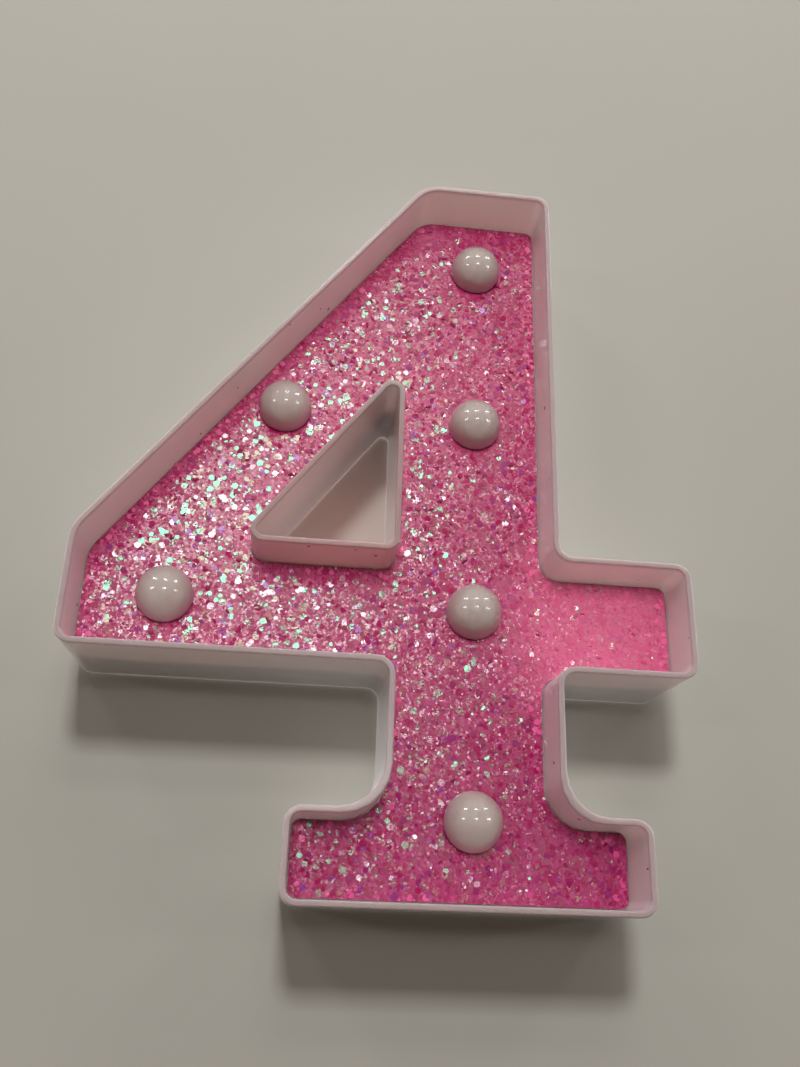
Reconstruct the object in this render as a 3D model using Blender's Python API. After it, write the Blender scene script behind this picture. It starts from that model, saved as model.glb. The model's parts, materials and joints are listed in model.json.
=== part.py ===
"""A light-up marquee number four: a moulded channel with a glitter face and six round bulbs.

The number stands upright on its base. X runs to the viewer's right, Z is up and the open front
looks towards -Y. The origin is at the middle of the bottom of the bounding box. Every length is
in metres.
"""

import math

import bmesh
import bpy
from mathutils import Matrix, Vector

MM = 0.001
MERGE_DISTANCE = 0.001 * MM
FILL_SCALE = 1000.0
SHARP_ANGLE = math.radians(40)
QUARTER = math.radians(90)

# The number's outline, seen from the front.
HEIGHT = 220.0 * MM
WIDTH = 172.4 * MM
DEPTH = 35.0 * MM
STEM_FROM_MIDDLE = 1.2 * MM
STEM_WIDTH = 47.0 * MM
BAR_BOTTOM_SHARE = 0.27727
BAR_HEIGHT_SHARE = 0.15091
BASE_HEIGHT = 23.6 * MM
BASE_REACH_LEFT = 24.9 * MM
BASE_REACH_RIGHT = 22.3 * MM
TOP_WIDTH = 41.1 * MM
TIP_HEIGHT_SHARE = 0.14545
DIAGONAL_WIDTH = 37.5 * MM
CORNER_RADIUS = 4.5 * MM
SHOULDER_RADIUS = 11.0 * MM
BRACKET_RADIUS = 12.0 * MM
INNER_CORNER_RADIUS = 3.5 * MM
COUNTER_RADIUS = 2.0 * MM
SMALLEST_RADIUS = 0.2 * MM
ARC_STEPS = 5

# The channel's section.
WALL = 1.7 * MM
DRAFT = 0.15 * MM
RIM_ROUND = 0.45 * MM
FOOT_ROUND = 0.6 * MM
ROUND_STEPS = 2
RECESS = 16.2 * MM
FACE_THICKNESS = 1.4 * MM
LEDGE = 0.9 * MM
CLEARANCE = 0.3 * MM
OVERRUN = 2.0 * MM

# The glitter sheet that lines the recess.
SHEET_THICKNESS = 0.25 * MM

# The bulbs: a column up the stem, one at the end of the arm and one on the diagonal.
COLUMN_SHARES = (0.10182, 0.36591, 0.64136, 0.90409)
COLUMN_FROM_STEM_LEFT = 25.1 * MM
ARM_BULB_FROM_TIP = 24.9 * MM
ARM_BULB_ABOVE_BAR_BOTTOM = 19.0 * MM
DIAGONAL_BULB_SHARE = 0.45314
DIAGONAL_BULB_FROM_EDGE = 14.29 * MM
BULB_RADIUS = 8.0 * MM
BULB_STAND = 1.6 * MM
BULB_WALL = 1.0 * MM
NECK_RADIUS = 4.2 * MM
NECK_REACH = 1.45 * MM
BULB_STEPS = 18
DOME_STEPS = 6
INNER_DOME_STEPS = 4

# The light-emitting diodes behind the bulbs.
LED_RADIUS = 2.5 * MM
LED_LENGTH = 8.0 * MM
LED_FLANGE_RADIUS = 2.95 * MM
LED_FLANGE_THICKNESS = 1.0 * MM
LED_STEPS = 8
LED_DOME_STEPS = 3
LEAD_PITCH = 2.54 * MM
LEAD_SIDE = 0.5 * MM
LEAD_ROOT = 0.4 * MM
CATHODE_LEAD = 1.5 * MM
ANODE_LEAD = 3.9 * MM

# The two cells and the bay that holds them.
CELL_RADIUS = 7.1 * MM
CELL_LENGTH = 50.5 * MM
CELL_NUB_RADIUS = 2.75 * MM
CELL_NUB_HEIGHT = 1.3 * MM
CELL_EDGE = 0.6 * MM
CELL_SPACE = 0.4 * MM
CELL_STEPS = 20
CELL_END_ROOM = 6.5 * MM
BAY_WALL = 1.2 * MM
BAY_CORNER_RADIUS = 0.8 * MM
BAY_WALL_HEIGHT = 11.35 * MM
BAY_FROM_STEM_RIGHT = 5.4 * MM
BAY_ABOVE_COUNTER = 2.2 * MM

# The metal contacts in the bay.
CONTACT_THICKNESS = 0.4 * MM
CONTACT_WIDTH = 10.0 * MM
CONTACT_BELOW_TOP = 0.6 * MM
BRIDGE_WIDTH = 4.0 * MM
TAG_WIDTH = 2.4 * MM
TAG_REACH = 0.9 * MM
SPRING_WIRE_RADIUS = 0.3 * MM
SPRING_BASE_RADIUS = 4.0 * MM
SPRING_TIP_RADIUS = 2.2 * MM
SPRING_TURNS = 3
SPRING_STEPS = 10
SPRING_ROUNDNESS = 1

# The back cover and its screws.
COVER_THICKNESS = 2.2 * MM
BOSS_RADIUS = 3.0 * MM
BOSS_FROM_WALL = 5.2 * MM
DIAGONAL_BOSS_SHARE = 0.25
POST_STEPS = 12
PILOT_DEPTH = 7.5 * MM
SCREW_RADIUS = 1.2 * MM
SCREW_LENGTH = 8.0 * MM
SCREW_HEAD_RADIUS = 2.3 * MM
SCREW_HEAD_HEIGHT = 0.9 * MM
SCREW_SINK = 0.1 * MM
CROSS_LENGTH = 2.6 * MM
CROSS_WIDTH = 0.6 * MM
CROSS_DEPTH = 0.5 * MM
SCREW_TIP_RADIUS = 0.4 * MM
SCREW_TIP_LENGTH = 1.4 * MM
SCREW_STEPS = 10

# The battery door, hung on two pins at its short side.
DOOR_THICKNESS = 1.3 * MM
DOOR_LEDGE = 1.0 * MM
DOOR_CORNER_RADIUS = 1.2 * MM
DOOR_CORNER_STEPS = 3
HINGE_PIN_RADIUS = 0.5 * MM
HINGE_PIN_LENGTH = 1.4 * MM
HINGE_PIN_CLEARANCE = 0.1 * MM
HINGE_STEPS = 12
LATCH_WIDTH = 9.0 * MM
LATCH_THICKNESS = 1.0 * MM
LATCH_DEPTH = 2.4 * MM
LATCH_ROOT = 0.5 * MM
GRIP_LENGTH = 4.5 * MM
GRIP_WIDTH = 12.0 * MM
GRIP_CORNER_RADIUS = 1.5 * MM
GRIP_DEPTH = 0.6 * MM
GRIP_FROM_EDGE = 2.4 * MM

# The slide switch, on two posts under the back cover.
SWITCH_ABOVE_BAR = 15.8 * MM
FRAME_LENGTH = 22.0 * MM
FRAME_WIDTH = 7.0 * MM
FRAME_THICKNESS = 0.5 * MM
FRAME_CORNER_RADIUS = 1.0 * MM
POST_RADIUS = 2.2 * MM
POST_PILOT_DEPTH = 5.0 * MM
SWITCH_BASE_LENGTH = 11.8 * MM
SWITCH_BASE_WIDTH = 6.4 * MM
SWITCH_BASE_DEPTH = 4.2 * MM
SWITCH_CORNER_RADIUS = 0.5 * MM
KNOB_LENGTH = 3.0 * MM
KNOB_WIDTH = 3.0 * MM
KNOB_TRAVEL = 3.0 * MM
KNOB_FOOT_LENGTH = 5.0 * MM
KNOB_FOOT_WIDTH = 4.4 * MM
KNOB_FOOT_HEIGHT = 1.0 * MM
KNOB_BELOW_BACK = 0.3 * MM
DISH_MARGIN = 2.2 * MM
DISH_DEPTH = 0.9 * MM
SWITCH_SCREW_PITCH = 17.0 * MM
SWITCH_SCREW_RADIUS = 0.9 * MM
SWITCH_SCREW_HEAD_RADIUS = 1.8 * MM
SWITCH_SCREW_HEAD_HEIGHT = 0.9 * MM
SWITCH_SCREW_LENGTH = 5.0 * MM
TERMINAL_PITCH = 3.0 * MM
TERMINAL_WIDTH = 1.2 * MM
TERMINAL_THICKNESS = 0.4 * MM
TERMINAL_LENGTH = 3.0 * MM

# The keyhole for a wall screw.
KEYHOLE_FROM_TOP = 26.0 * MM
KEYHOLE_FROM_STEM = 11.3 * MM
KEYHOLE_HEAD_RADIUS = 4.0 * MM
KEYHOLE_SLOT_RADIUS = 2.3 * MM
KEYHOLE_SLOT_LENGTH = 7.5 * MM
KEYHOLE_STEPS = 8

# The insulated wires inside.
WIRE_RADIUS = 0.55 * MM
WIRE_SPACING = 5.0 * MM
WIRE_ROUNDNESS = 2
WIRE_BEND = 8.0 * MM
WIRE_SAG = 0.6 * MM
WIRE_END = 2.2 * MM
WIRE_LAP = 3.0 * MM

# Depths, from the front to the back.
FRONT = -DEPTH / 2
BACK = DEPTH / 2
SHEET_FRONT = FRONT + RECESS
SHEET_BACK = SHEET_FRONT + SHEET_THICKNESS
FACE_FRONT = SHEET_BACK + CLEARANCE
FACE_BACK = FACE_FRONT + FACE_THICKNESS
COVER_INNER = BACK - COVER_THICKNESS
LEDGE_TOP = COVER_INNER - CLEARANCE
NECK_END = FACE_BACK + NECK_REACH
FLANGE_FRONT = NECK_END + CLEARANCE
FLANGE_BACK = FLANGE_FRONT + LED_FLANGE_THICKNESS
CATHODE_DEPTH = FLANGE_BACK + CATHODE_LEAD + CLEARANCE + WIRE_RADIUS
ANODE_DEPTH = FLANGE_BACK + ANODE_LEAD + CLEARANCE + WIRE_RADIUS
BAY_BACK = FACE_BACK + BAY_WALL_HEIGHT
CELL_DEPTH = FACE_BACK + CLEARANCE + CELL_RADIUS
TAG_FRONT = BAY_BACK + CLEARANCE
TAG_BACK = TAG_FRONT + CONTACT_THICKNESS
TAG_WIRE_DEPTH = TAG_FRONT - CLEARANCE - WIRE_RADIUS
LAP_DEPTH = WIRE_RADIUS * 2 + CLEARANCE
SCREW_SEAT = BACK - SCREW_SINK - SCREW_HEAD_HEIGHT
DOOR_FRONT = BACK - DOOR_THICKNESS
DOOR_SEAT = DOOR_FRONT - CLEARANCE
BARREL_RADIUS = COVER_THICKNESS / 2
HINGE_DEPTH = BACK - BARREL_RADIUS
DISH_FLOOR = BACK - DISH_DEPTH
SWITCH_SCREW_SEAT = COVER_INNER - CLEARANCE - SWITCH_SCREW_HEAD_HEIGHT
FRAME_BACK = SWITCH_SCREW_SEAT - CLEARANCE
FRAME_FRONT = FRAME_BACK - FRAME_THICKNESS
POST_BACK = FRAME_FRONT - CLEARANCE
SWITCH_BASE_FRONT = POST_BACK - SWITCH_BASE_DEPTH
KNOB_FOOT_FRONT = POST_BACK - KNOB_FOOT_HEIGHT
TERMINAL_BACK = SWITCH_BASE_FRONT - CLEARANCE
TERMINAL_FRONT = TERMINAL_BACK - TERMINAL_LENGTH
TERMINAL_WIRE_DEPTH = TERMINAL_FRONT - CLEARANCE - WIRE_RADIUS

# Places in the front view.
LEFT = -WIDTH / 2
RIGHT = WIDTH / 2
STEM_LEFT = STEM_FROM_MIDDLE
STEM_RIGHT = STEM_LEFT + STEM_WIDTH
STEM_MIDDLE = STEM_LEFT + STEM_WIDTH / 2
BAR_BOTTOM = HEIGHT * BAR_BOTTOM_SHARE
BAR_TOP = BAR_BOTTOM + HEIGHT * BAR_HEIGHT_SHARE
BASE_LEFT = STEM_LEFT - BASE_REACH_LEFT
BASE_RIGHT = STEM_RIGHT + BASE_REACH_RIGHT
TOP_LEFT = STEM_RIGHT - TOP_WIDTH
TIP_TOP = BAR_BOTTOM + HEIGHT * TIP_HEIGHT_SHARE
DIAGONAL = Vector((TOP_LEFT - LEFT, HEIGHT - TIP_TOP)).normalized()
SWITCH_PLACE = Vector((STEM_MIDDLE, BAR_TOP + SWITCH_ABOVE_BAR))
KEYHOLE_PLACE = Vector((STEM_LEFT + KEYHOLE_FROM_STEM, HEIGHT - KEYHOLE_FROM_TOP))


# Outlines


def number_corners():
    """The outer outline: its sharp corners and the radius at each, anticlockwise from the lower left."""
    return [
        (BASE_LEFT, 0.0, CORNER_RADIUS),
        (BASE_RIGHT, 0.0, CORNER_RADIUS),
        (BASE_RIGHT, BASE_HEIGHT, CORNER_RADIUS),
        (STEM_RIGHT, BASE_HEIGHT, BRACKET_RADIUS),
        (STEM_RIGHT, BAR_BOTTOM, INNER_CORNER_RADIUS),
        (RIGHT, BAR_BOTTOM, CORNER_RADIUS),
        (RIGHT, BAR_TOP, CORNER_RADIUS),
        (STEM_RIGHT, BAR_TOP, INNER_CORNER_RADIUS),
        (STEM_RIGHT, HEIGHT, CORNER_RADIUS),
        (TOP_LEFT, HEIGHT, SHOULDER_RADIUS),
        (LEFT, TIP_TOP, SHOULDER_RADIUS),
        (LEFT, BAR_BOTTOM, CORNER_RADIUS),
        (STEM_LEFT, BAR_BOTTOM, INNER_CORNER_RADIUS),
        (STEM_LEFT, BASE_HEIGHT, BRACKET_RADIUS),
        (BASE_LEFT, BASE_HEIGHT, CORNER_RADIUS),
    ]


def counter_corners():
    """The triangular counter's corners, anticlockwise. Its long side follows the diagonal."""
    slope = DIAGONAL.y / DIAGONAL.x
    diagonal_at_stem = TIP_TOP + (STEM_LEFT - LEFT) * slope
    apex = diagonal_at_stem - DIAGONAL_WIDTH / DIAGONAL.x
    left = STEM_LEFT - (apex - BAR_TOP) / slope
    return [
        (STEM_LEFT, BAR_TOP, COUNTER_RADIUS),
        (STEM_LEFT, apex, COUNTER_RADIUS),
        (left, BAR_TOP, COUNTER_RADIUS),
    ]


def rectangle_corners(centre, length, height, radius):
    """A rectangle's corners, anticlockwise from the lower left."""
    low = centre - Vector((length, height)) / 2
    high = centre + Vector((length, height)) / 2
    return [
        (low.x, low.y, radius),
        (high.x, low.y, radius),
        (high.x, high.y, radius),
        (low.x, high.y, radius),
    ]


def side_directions(corners, index):
    """A corner's place, the shorter of the two sides that meet there, and those sides' directions."""
    here = Vector(corners[index][:2])
    before = here - Vector(corners[index - 1][:2])
    after = Vector(corners[(index + 1) % len(corners)][:2]) - here
    room = min(before.length, after.length)
    return here, room, before.normalized(), after.normalized()


def offset_corners(corners, distance):
    """Moves every side inwards by a distance and keeps the centres of the corners' arcs."""
    moved = []
    for index, (_, _, radius) in enumerate(corners):
        here, _, before, after = side_directions(corners, index)
        normals = sideways(before), sideways(after)
        shift = (normals[0] + normals[1]) * distance / (1 + normals[0].dot(normals[1]))
        change = -distance if before.cross(after) > 0 else distance
        place = here + shift
        moved.append((place.x, place.y, max(radius + change, SMALLEST_RADIUS)))
    return moved


def rounded(corners):
    """The outline's points, with each corner turned by an arc that fits between its neighbours."""
    points = []
    for index, (_, _, radius) in enumerate(corners):
        here, room, before, after = side_directions(corners, index)
        turn = math.atan2(before.cross(after), before.dot(after))
        tangent = math.tan(abs(turn) / 2)
        radius = min(radius, room / 2 / tangent)
        inwards = sideways(before) * math.copysign(radius, turn)
        start = here - before * radius * tangent
        for step in range(ARC_STEPS + 1):
            angle = abs(turn) * step / ARC_STEPS
            points.append(start + before * radius * math.sin(angle) + inwards * (1 - math.cos(angle)))
    return points


def number_outline(inset):
    return rounded(offset_corners(number_corners(), inset))


def counter_outline(inset):
    """The counter's outline at a distance into the plastic round it."""
    return rounded(offset_corners(counter_corners(), -inset))


def rectangle(centre, length, height, radius):
    return rounded(rectangle_corners(centre, length, height, radius))


def circle(centre, radius, steps):
    turns = [math.tau * step / steps for step in range(steps)]
    return [centre + Vector((math.cos(turn), math.sin(turn))) * radius for turn in turns]


def keyhole(centre):
    """A round head with a narrow slot above it."""
    entry = math.asin(KEYHOLE_SLOT_RADIUS / KEYHOLE_HEAD_RADIUS)
    sweep = math.tau - entry * 2
    points = []
    for step in range(KEYHOLE_STEPS * 2 + 1):
        turn = QUARTER + entry + sweep * step / (KEYHOLE_STEPS * 2)
        points.append(centre + Vector((math.cos(turn), math.sin(turn))) * KEYHOLE_HEAD_RADIUS)
    slot_end = centre + Vector((0.0, KEYHOLE_SLOT_LENGTH))
    for step in range(KEYHOLE_STEPS + 1):
        turn = math.pi * step / KEYHOLE_STEPS
        points.append(slot_end + Vector((math.cos(turn), math.sin(turn))) * KEYHOLE_SLOT_RADIUS)
    return points


def cross(length, width):
    """A plus sign about the origin."""
    arm = length / 2
    half = width / 2
    quarter = [Vector((arm, half)), Vector((half, half)), Vector((half, arm))]
    turns = [Matrix.Rotation(QUARTER * step, 2) for step in range(4)]
    return [turn @ point for turn in turns for point in quarter]


def sideways(direction):
    return Vector((-direction.y, direction.x))


# Places of the repeated pieces


def diagonal_place(share, inset):
    """A place along the diagonal, from its foot to its top, at a distance inside its edge."""
    tip = Vector((LEFT, TIP_TOP))
    shoulder = Vector((TOP_LEFT, HEIGHT))
    return tip.lerp(shoulder, share) - sideways(DIAGONAL) * inset


def bulb_places():
    """The bulbs' centres, in the order in which the wires visit them."""
    across = STEM_LEFT + COLUMN_FROM_STEM_LEFT
    column = [Vector((across, HEIGHT * share)) for share in COLUMN_SHARES]
    arm = Vector((LEFT + ARM_BULB_FROM_TIP, BAR_BOTTOM + ARM_BULB_ABOVE_BAR_BOTTOM))
    diagonal = diagonal_place(DIAGONAL_BULB_SHARE, DIAGONAL_BULB_FROM_EDGE)
    return [column[0], column[1], arm, diagonal, column[2], column[3]]


def boss_places():
    """The cover's screw bosses, each near a corner or a long side of the channel."""
    inset = WALL + LEDGE + BOSS_FROM_WALL
    return [
        Vector((BASE_LEFT + inset, inset)),
        Vector((BASE_RIGHT - inset, inset)),
        Vector((RIGHT - inset, (BAR_BOTTOM + BAR_TOP) / 2)),
        Vector((STEM_RIGHT - inset, SWITCH_PLACE.y)),
        Vector((STEM_RIGHT - inset, HEIGHT - inset)),
        Vector((TOP_LEFT + inset, HEIGHT - inset)),
        diagonal_place(DIAGONAL_BOSS_SHARE, inset),
        Vector((LEFT + inset, BAR_BOTTOM + inset)),
    ]


def switch_screw_places():
    half = Vector((SWITCH_SCREW_PITCH / 2, 0.0))
    return [SWITCH_PLACE - half, SWITCH_PLACE + half]


def terminal_places():
    step = Vector((TERMINAL_PITCH, 0.0))
    return [SWITCH_PLACE - step, SWITCH_PLACE, SWITCH_PLACE + step]


def bay_edges():
    """The battery bay's inner edges: left, right, bottom and top."""
    right = STEM_RIGHT - BAY_FROM_STEM_RIGHT - BAY_WALL
    bottom = counter_corners()[1][1] + BAY_ABOVE_COUNTER + BAY_WALL
    height = CELL_RADIUS * 4 + CELL_SPACE * 3
    length = CELL_LENGTH + CELL_END_ROOM
    return right - length, right, bottom, bottom + height


def cell_heights():
    """The lower and the upper cell's axis."""
    _, _, bottom, top = bay_edges()
    seat = CELL_SPACE + CELL_RADIUS
    return bottom + seat, top - seat


def bay_rectangle(margin, radius):
    """The bay's inner outline, moved outwards by a margin."""
    left, right, bottom, top = bay_edges()
    centre = Vector((left + right, bottom + top)) / 2
    return rectangle(centre, right - left + margin * 2, top - bottom + margin * 2, radius)


def hinge_place():
    """The door's axis, just inside the right edge of its opening."""
    _, right, bottom, top = bay_edges()
    return Vector((right + DOOR_LEDGE - CLEARANCE - BARREL_RADIUS, HINGE_DEPTH, (bottom + top) / 2))


# Meshes


def ring(mesh, points, depth):
    """One closed row of corners at a depth, with its edges."""
    corners = [mesh.verts.new((point[0], depth, point[1])) for point in points]
    for index, corner in enumerate(corners):
        mesh.edges.new((corners[index - 1], corner))
    return corners


def stack_rings(mesh, layers):
    """Rings at the given (points, depth) layers, joined in turn. It returns the first and the last ring."""
    rings = [ring(mesh, points, depth) for points, depth in layers]
    for near, far in zip(rings, rings[1:]):
        for index in range(len(near)):
            mesh.faces.new((near[index - 1], near[index], far[index], far[index - 1]))
    return rings[0], rings[-1]


def fill(mesh, rings):
    """A flat face whose outer edge is one ring and whose holes are the others.

    It is filled at a large scale, which keeps the fill exact on small corners.
    """
    corners = []
    edges = []
    for loop in rings:
        corners += loop
        edges += [mesh.edges.get((loop[index - 1], loop[index])) for index in range(len(loop))]
    bmesh.ops.scale(mesh, vec=Vector((1, 1, 1)) * FILL_SCALE, verts=corners)
    bmesh.ops.triangle_fill(mesh, use_beauty=True, use_dissolve=False, edges=edges)
    bmesh.ops.scale(mesh, vec=Vector((1, 1, 1)) / FILL_SCALE, verts=corners)


def finish_mesh(mesh, name):
    """Turns the faces outwards and makes a mesh with smooth round sides."""
    bmesh.ops.remove_doubles(mesh, verts=mesh.verts, dist=MERGE_DISTANCE)
    bmesh.ops.recalc_face_normals(mesh, faces=mesh.faces)
    data = bpy.data.meshes.new(name)
    mesh.to_mesh(data)
    mesh.free()
    data.shade_smooth()
    data.set_sharp_from_angle(angle=SHARP_ANGLE)
    return data


def plate(name, walls, pockets=()):
    """A plate between two flat faces.

    Each wall is a list of (points, depth) layers that runs from one face to the other: the outer
    one first, then the through holes. Each pocket or post starts on the first face and ends in a
    floor of its own.
    """
    mesh = bmesh.new()
    starts = []
    ends = []
    for layers in walls:
        first, last = stack_rings(mesh, layers)
        starts.append(first)
        ends.append(last)
    for layers in pockets:
        first, last = stack_rings(mesh, layers)
        starts.append(first)
        fill(mesh, [last])
    fill(mesh, starts)
    fill(mesh, ends)
    return finish_mesh(mesh, name)


def prism(name, points, near, far):
    """An outline drawn in the front view, run from one depth to another."""
    return plate(name, [[(points, near), (points, far)]])


def box(name, size):
    """A box about its own middle."""
    mesh = bmesh.new()
    bmesh.ops.create_cube(mesh, size=1, matrix=Matrix.Diagonal((*size, 1)))
    return finish_mesh(mesh, name)


def turned(name, profile, steps):
    """A profile of (radius, depth) pairs turned about the Y axis. It starts and ends on the axis."""
    mesh = bmesh.new()
    corners = [mesh.verts.new((radius, depth, 0.0)) for radius, depth in profile]
    edges = [mesh.edges.new(pair) for pair in zip(corners, corners[1:])]
    bmesh.ops.spin(
        mesh,
        geom=corners + edges,
        cent=(0.0, 0.0, 0.0),
        axis=(0.0, 1.0, 0.0),
        angle=math.tau,
        steps=steps,
        use_merge=True,
    )
    return finish_mesh(mesh, name)


def dome(radius, centre, start, end, steps):
    """Points of a turned dome's profile between two angles from its tip."""
    angles = [start + (end - start) * step / steps for step in range(steps + 1)]
    return [(radius * math.sin(angle), centre - radius * math.cos(angle)) for angle in angles]


def quarter_round(inset, depth, radius, start):
    """Points of a section along a quarter turn about a centre, as (inset, depth) pairs."""
    turns = [start + QUARTER * step / ROUND_STEPS for step in range(ROUND_STEPS + 1)]
    return [(inset + radius * math.cos(turn), depth + radius * math.sin(turn)) for turn in turns]


def screw_mesh(name, radius, length, head_radius, head_height):
    """A screw about its axis, with the underside of its head at zero depth and a cross in the head."""
    head = circle(Vector((0.0, 0.0)), head_radius, SCREW_STEPS)
    shank = circle(Vector((0.0, 0.0)), radius, SCREW_STEPS)
    tip = circle(Vector((0.0, 0.0)), SCREW_TIP_RADIUS, SCREW_STEPS)
    slot = cross(CROSS_LENGTH, CROSS_WIDTH)
    sides = [
        (head, head_height),
        (head, 0.0),
        (shank, 0.0),
        (shank, SCREW_TIP_LENGTH - length),
        (tip, -length),
    ]
    mesh = bmesh.new()
    top, end = stack_rings(mesh, sides)
    mouth, floor = stack_rings(mesh, [(slot, head_height), (slot, head_height - CROSS_DEPTH)])
    fill(mesh, [top, mouth])
    fill(mesh, [floor])
    fill(mesh, [end])
    return finish_mesh(mesh, name)


# Paths


def bend_direction(points, index):
    """The path's direction at a point: halfway between the runs that meet there."""
    before = (points[index] - points[max(index - 1, 0)]).normalized()
    after = (points[min(index + 1, len(points) - 1)] - points[index]).normalized()
    return (before + after).normalized()


def smooth_path(points):
    """A smooth curve through the points, with a point about every WIRE_SPACING."""
    path = [points[0]]
    for index in range(len(points) - 1):
        start = points[index]
        end = points[index + 1]
        run = (end - start).length
        leave = bend_direction(points, index) * run
        arrive = bend_direction(points, index + 1) * run
        steps = max(1, round(run / WIRE_SPACING))
        for step in range(1, steps + 1):
            t = step / steps
            path.append(
                start * (2 * t**3 - 3 * t**2 + 1)
                + leave * (t**3 - 2 * t**2 + t)
                + end * (3 * t**2 - 2 * t**3)
                + arrive * (t**3 - t**2)
            )
    return path


def tube(name, points, radius, roundness):
    """A round wire along the points."""
    data = bpy.data.curves.new(name, "CURVE")
    data.dimensions = "3D"
    data.bevel_depth = radius
    data.bevel_resolution = roundness
    data.use_fill_caps = True
    spline = data.splines.new("POLY")
    spline.points.add(len(points) - 1)
    for corner, point in zip(spline.points, points):
        corner.co = (*point, 1.0)
    return data


def passage():
    """The middle of the gap between the bay and the stem's right wall."""
    _, right, _, _ = bay_edges()
    return (right + BAY_WALL + STEM_RIGHT - WALL - LEDGE) / 2


def wire_junction():
    """Where the switch's lead meets the cathode bus, left of the second bulb."""
    return bulb_places()[1] + Vector((-WIRE_BEND * 2, WIRE_BEND / 3))


def bus_route():
    """The bus wires' way past every bulb, as (place, share of a diode's lead spread) pairs."""
    base, middle, arm, diagonal, upper, top = bulb_places()
    _, _, bay_bottom, bay_top = bay_edges()
    gap = passage()
    under = bay_bottom - BAY_WALL - BAY_ABOVE_COUNTER / 2 - WIRE_SAG
    over = Vector((gap, bay_top))
    return [
        (base - Vector((0.0, WIRE_END)), 1),
        (base, 1),
        (base.lerp(middle, 1 / 2), 0),
        (middle, 1),
        (wire_junction(), 0),
        (middle.lerp(arm, 1 / 2), 0),
        (arm, 1),
        (arm.lerp(diagonal, 1 / 2), 0),
        (diagonal, 1),
        (Vector((STEM_LEFT - WIRE_BEND, under)), 0),
        (Vector((STEM_LEFT + WIRE_BEND, under)), 0),
        (upper, 1),
        (Vector((gap, bay_bottom)), 0),
        (Vector((gap, bay_bottom + WIRE_BEND)), 0),
        (Vector((gap, bay_top - WIRE_BEND)), 0),
        (over, 0),
        (top, 1),
        (top + (top - over).normalized() * WIRE_END, 1),
    ]


def bus_path(side, depth):
    """One bus wire's points: it passes over the leads on its side of every diode."""
    route = bus_route()
    places = [place for place, _ in route]
    points = []
    for index, (place, share) in enumerate(route):
        shift = sideways(bend_direction(places, index)) * side * share * LEAD_PITCH / 2
        points.append(Vector((place.x + shift.x, depth, place.y + shift.y)))
    return smooth_path(points)


def diode_turn(place):
    """A diode's turn about its axis, which lays its leads across the wires' way."""
    places = [stop for stop, _ in bus_route()]
    across = sideways(bend_direction(places, places.index(place)))
    return math.atan2(-across.y, across.x)


def spring_points(turns, base_radius, tip_radius, length):
    """A conical spring's wire, from its base at zero along X."""
    points = []
    for step in range(turns * SPRING_STEPS + 1):
        share = step / (turns * SPRING_STEPS)
        turn = math.tau * turns * share
        radius = base_radius + (tip_radius - base_radius) * share
        points.append(Vector((length * share, radius * math.cos(turn), radius * math.sin(turn))))
    return points


def least_gap(points, radius):
    """The smallest clear distance of a coil's wire to itself, between points half a turn or more apart."""
    apart = SPRING_STEPS // 2
    distances = []
    for index, point in enumerate(points):
        distances += [(point - other).length for other in points[index + apart :]]
    return min(distances) - radius * 2


# Objects


def add_material(name, colour, roughness, metallic=0.0, transmission=0.0):
    made = bpy.data.materials.new(name)
    made.use_nodes = True
    shader = made.node_tree.nodes["Principled BSDF"]
    shader.inputs["Base Color"].default_value = (*colour, 1.0)
    shader.inputs["Roughness"].default_value = roughness
    shader.inputs["Metallic"].default_value = metallic
    shader.inputs["Transmission Weight"].default_value = transmission
    made.diffuse_color = (*colour, 1.0)


def add_materials():
    add_material("white_plastic", (0.86, 0.85, 0.84), 0.3)
    add_material("glitter", (0.8, 0.72, 0.82), 0.35, metallic=0.4)
    add_material("milky_plastic", (0.93, 0.92, 0.9), 0.2, transmission=0.3)
    add_material("clear_resin", (0.95, 0.95, 0.9), 0.1, transmission=0.8)
    add_material("red_insulation", (0.6, 0.03, 0.02), 0.45)
    add_material("black_insulation", (0.02, 0.02, 0.02), 0.45)
    add_material("black_plastic", (0.03, 0.03, 0.03), 0.4)
    add_material("steel", (0.6, 0.6, 0.58), 0.3, metallic=1.0)
    add_material("cell_jacket", (0.35, 0.37, 0.4), 0.35)


def add_object(name, data, material, place=(0.0, 0.0, 0.0), turn=(0.0, 0.0, 0.0)):
    """One named piece, held by the number's own empty."""
    if not data.materials:
        data.materials.append(bpy.data.materials[material])
    piece = bpy.data.objects.new(name, data)
    piece.location = place
    piece.rotation_euler = turn
    piece.parent = bpy.data.objects["number"]
    bpy.context.scene.collection.objects.link(piece)
    return piece


def combine(piece, name, data, operation, place=(0.0, 0.0, 0.0), turn=(0.0, 0.0, 0.0)):
    """Joins a shape to a piece or cuts it away. The shape's place is in the piece's own frame."""
    tool = bpy.data.objects.new(name, data)
    tool.location = place
    tool.rotation_euler = turn
    tool.parent = piece
    tool.hide_render = True
    tool.display_type = "WIRE"
    bpy.context.scene.collection.objects.link(tool)
    change = piece.modifiers.new(name, "BOOLEAN")
    change.operation = operation
    change.solver = "EXACT"
    change.object = tool


# The housing and its face


def channel_section():
    """The channel wall's section as (inset, depth) pairs, from the plate's back round the rim."""
    return [
        (WALL + LEDGE, FACE_BACK),
        (WALL + LEDGE, LEDGE_TOP),
        (WALL, LEDGE_TOP),
        (WALL, BACK),
        *quarter_round(FOOT_ROUND, BACK - FOOT_ROUND, FOOT_ROUND, QUARTER),
        *quarter_round(RIM_ROUND, FRONT + RIM_ROUND, RIM_ROUND, QUARTER * 2),
        *quarter_round(WALL - RIM_ROUND, FRONT + RIM_ROUND, RIM_ROUND, QUARTER * 3),
        (WALL + DRAFT, FACE_FRONT),
    ]


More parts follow.
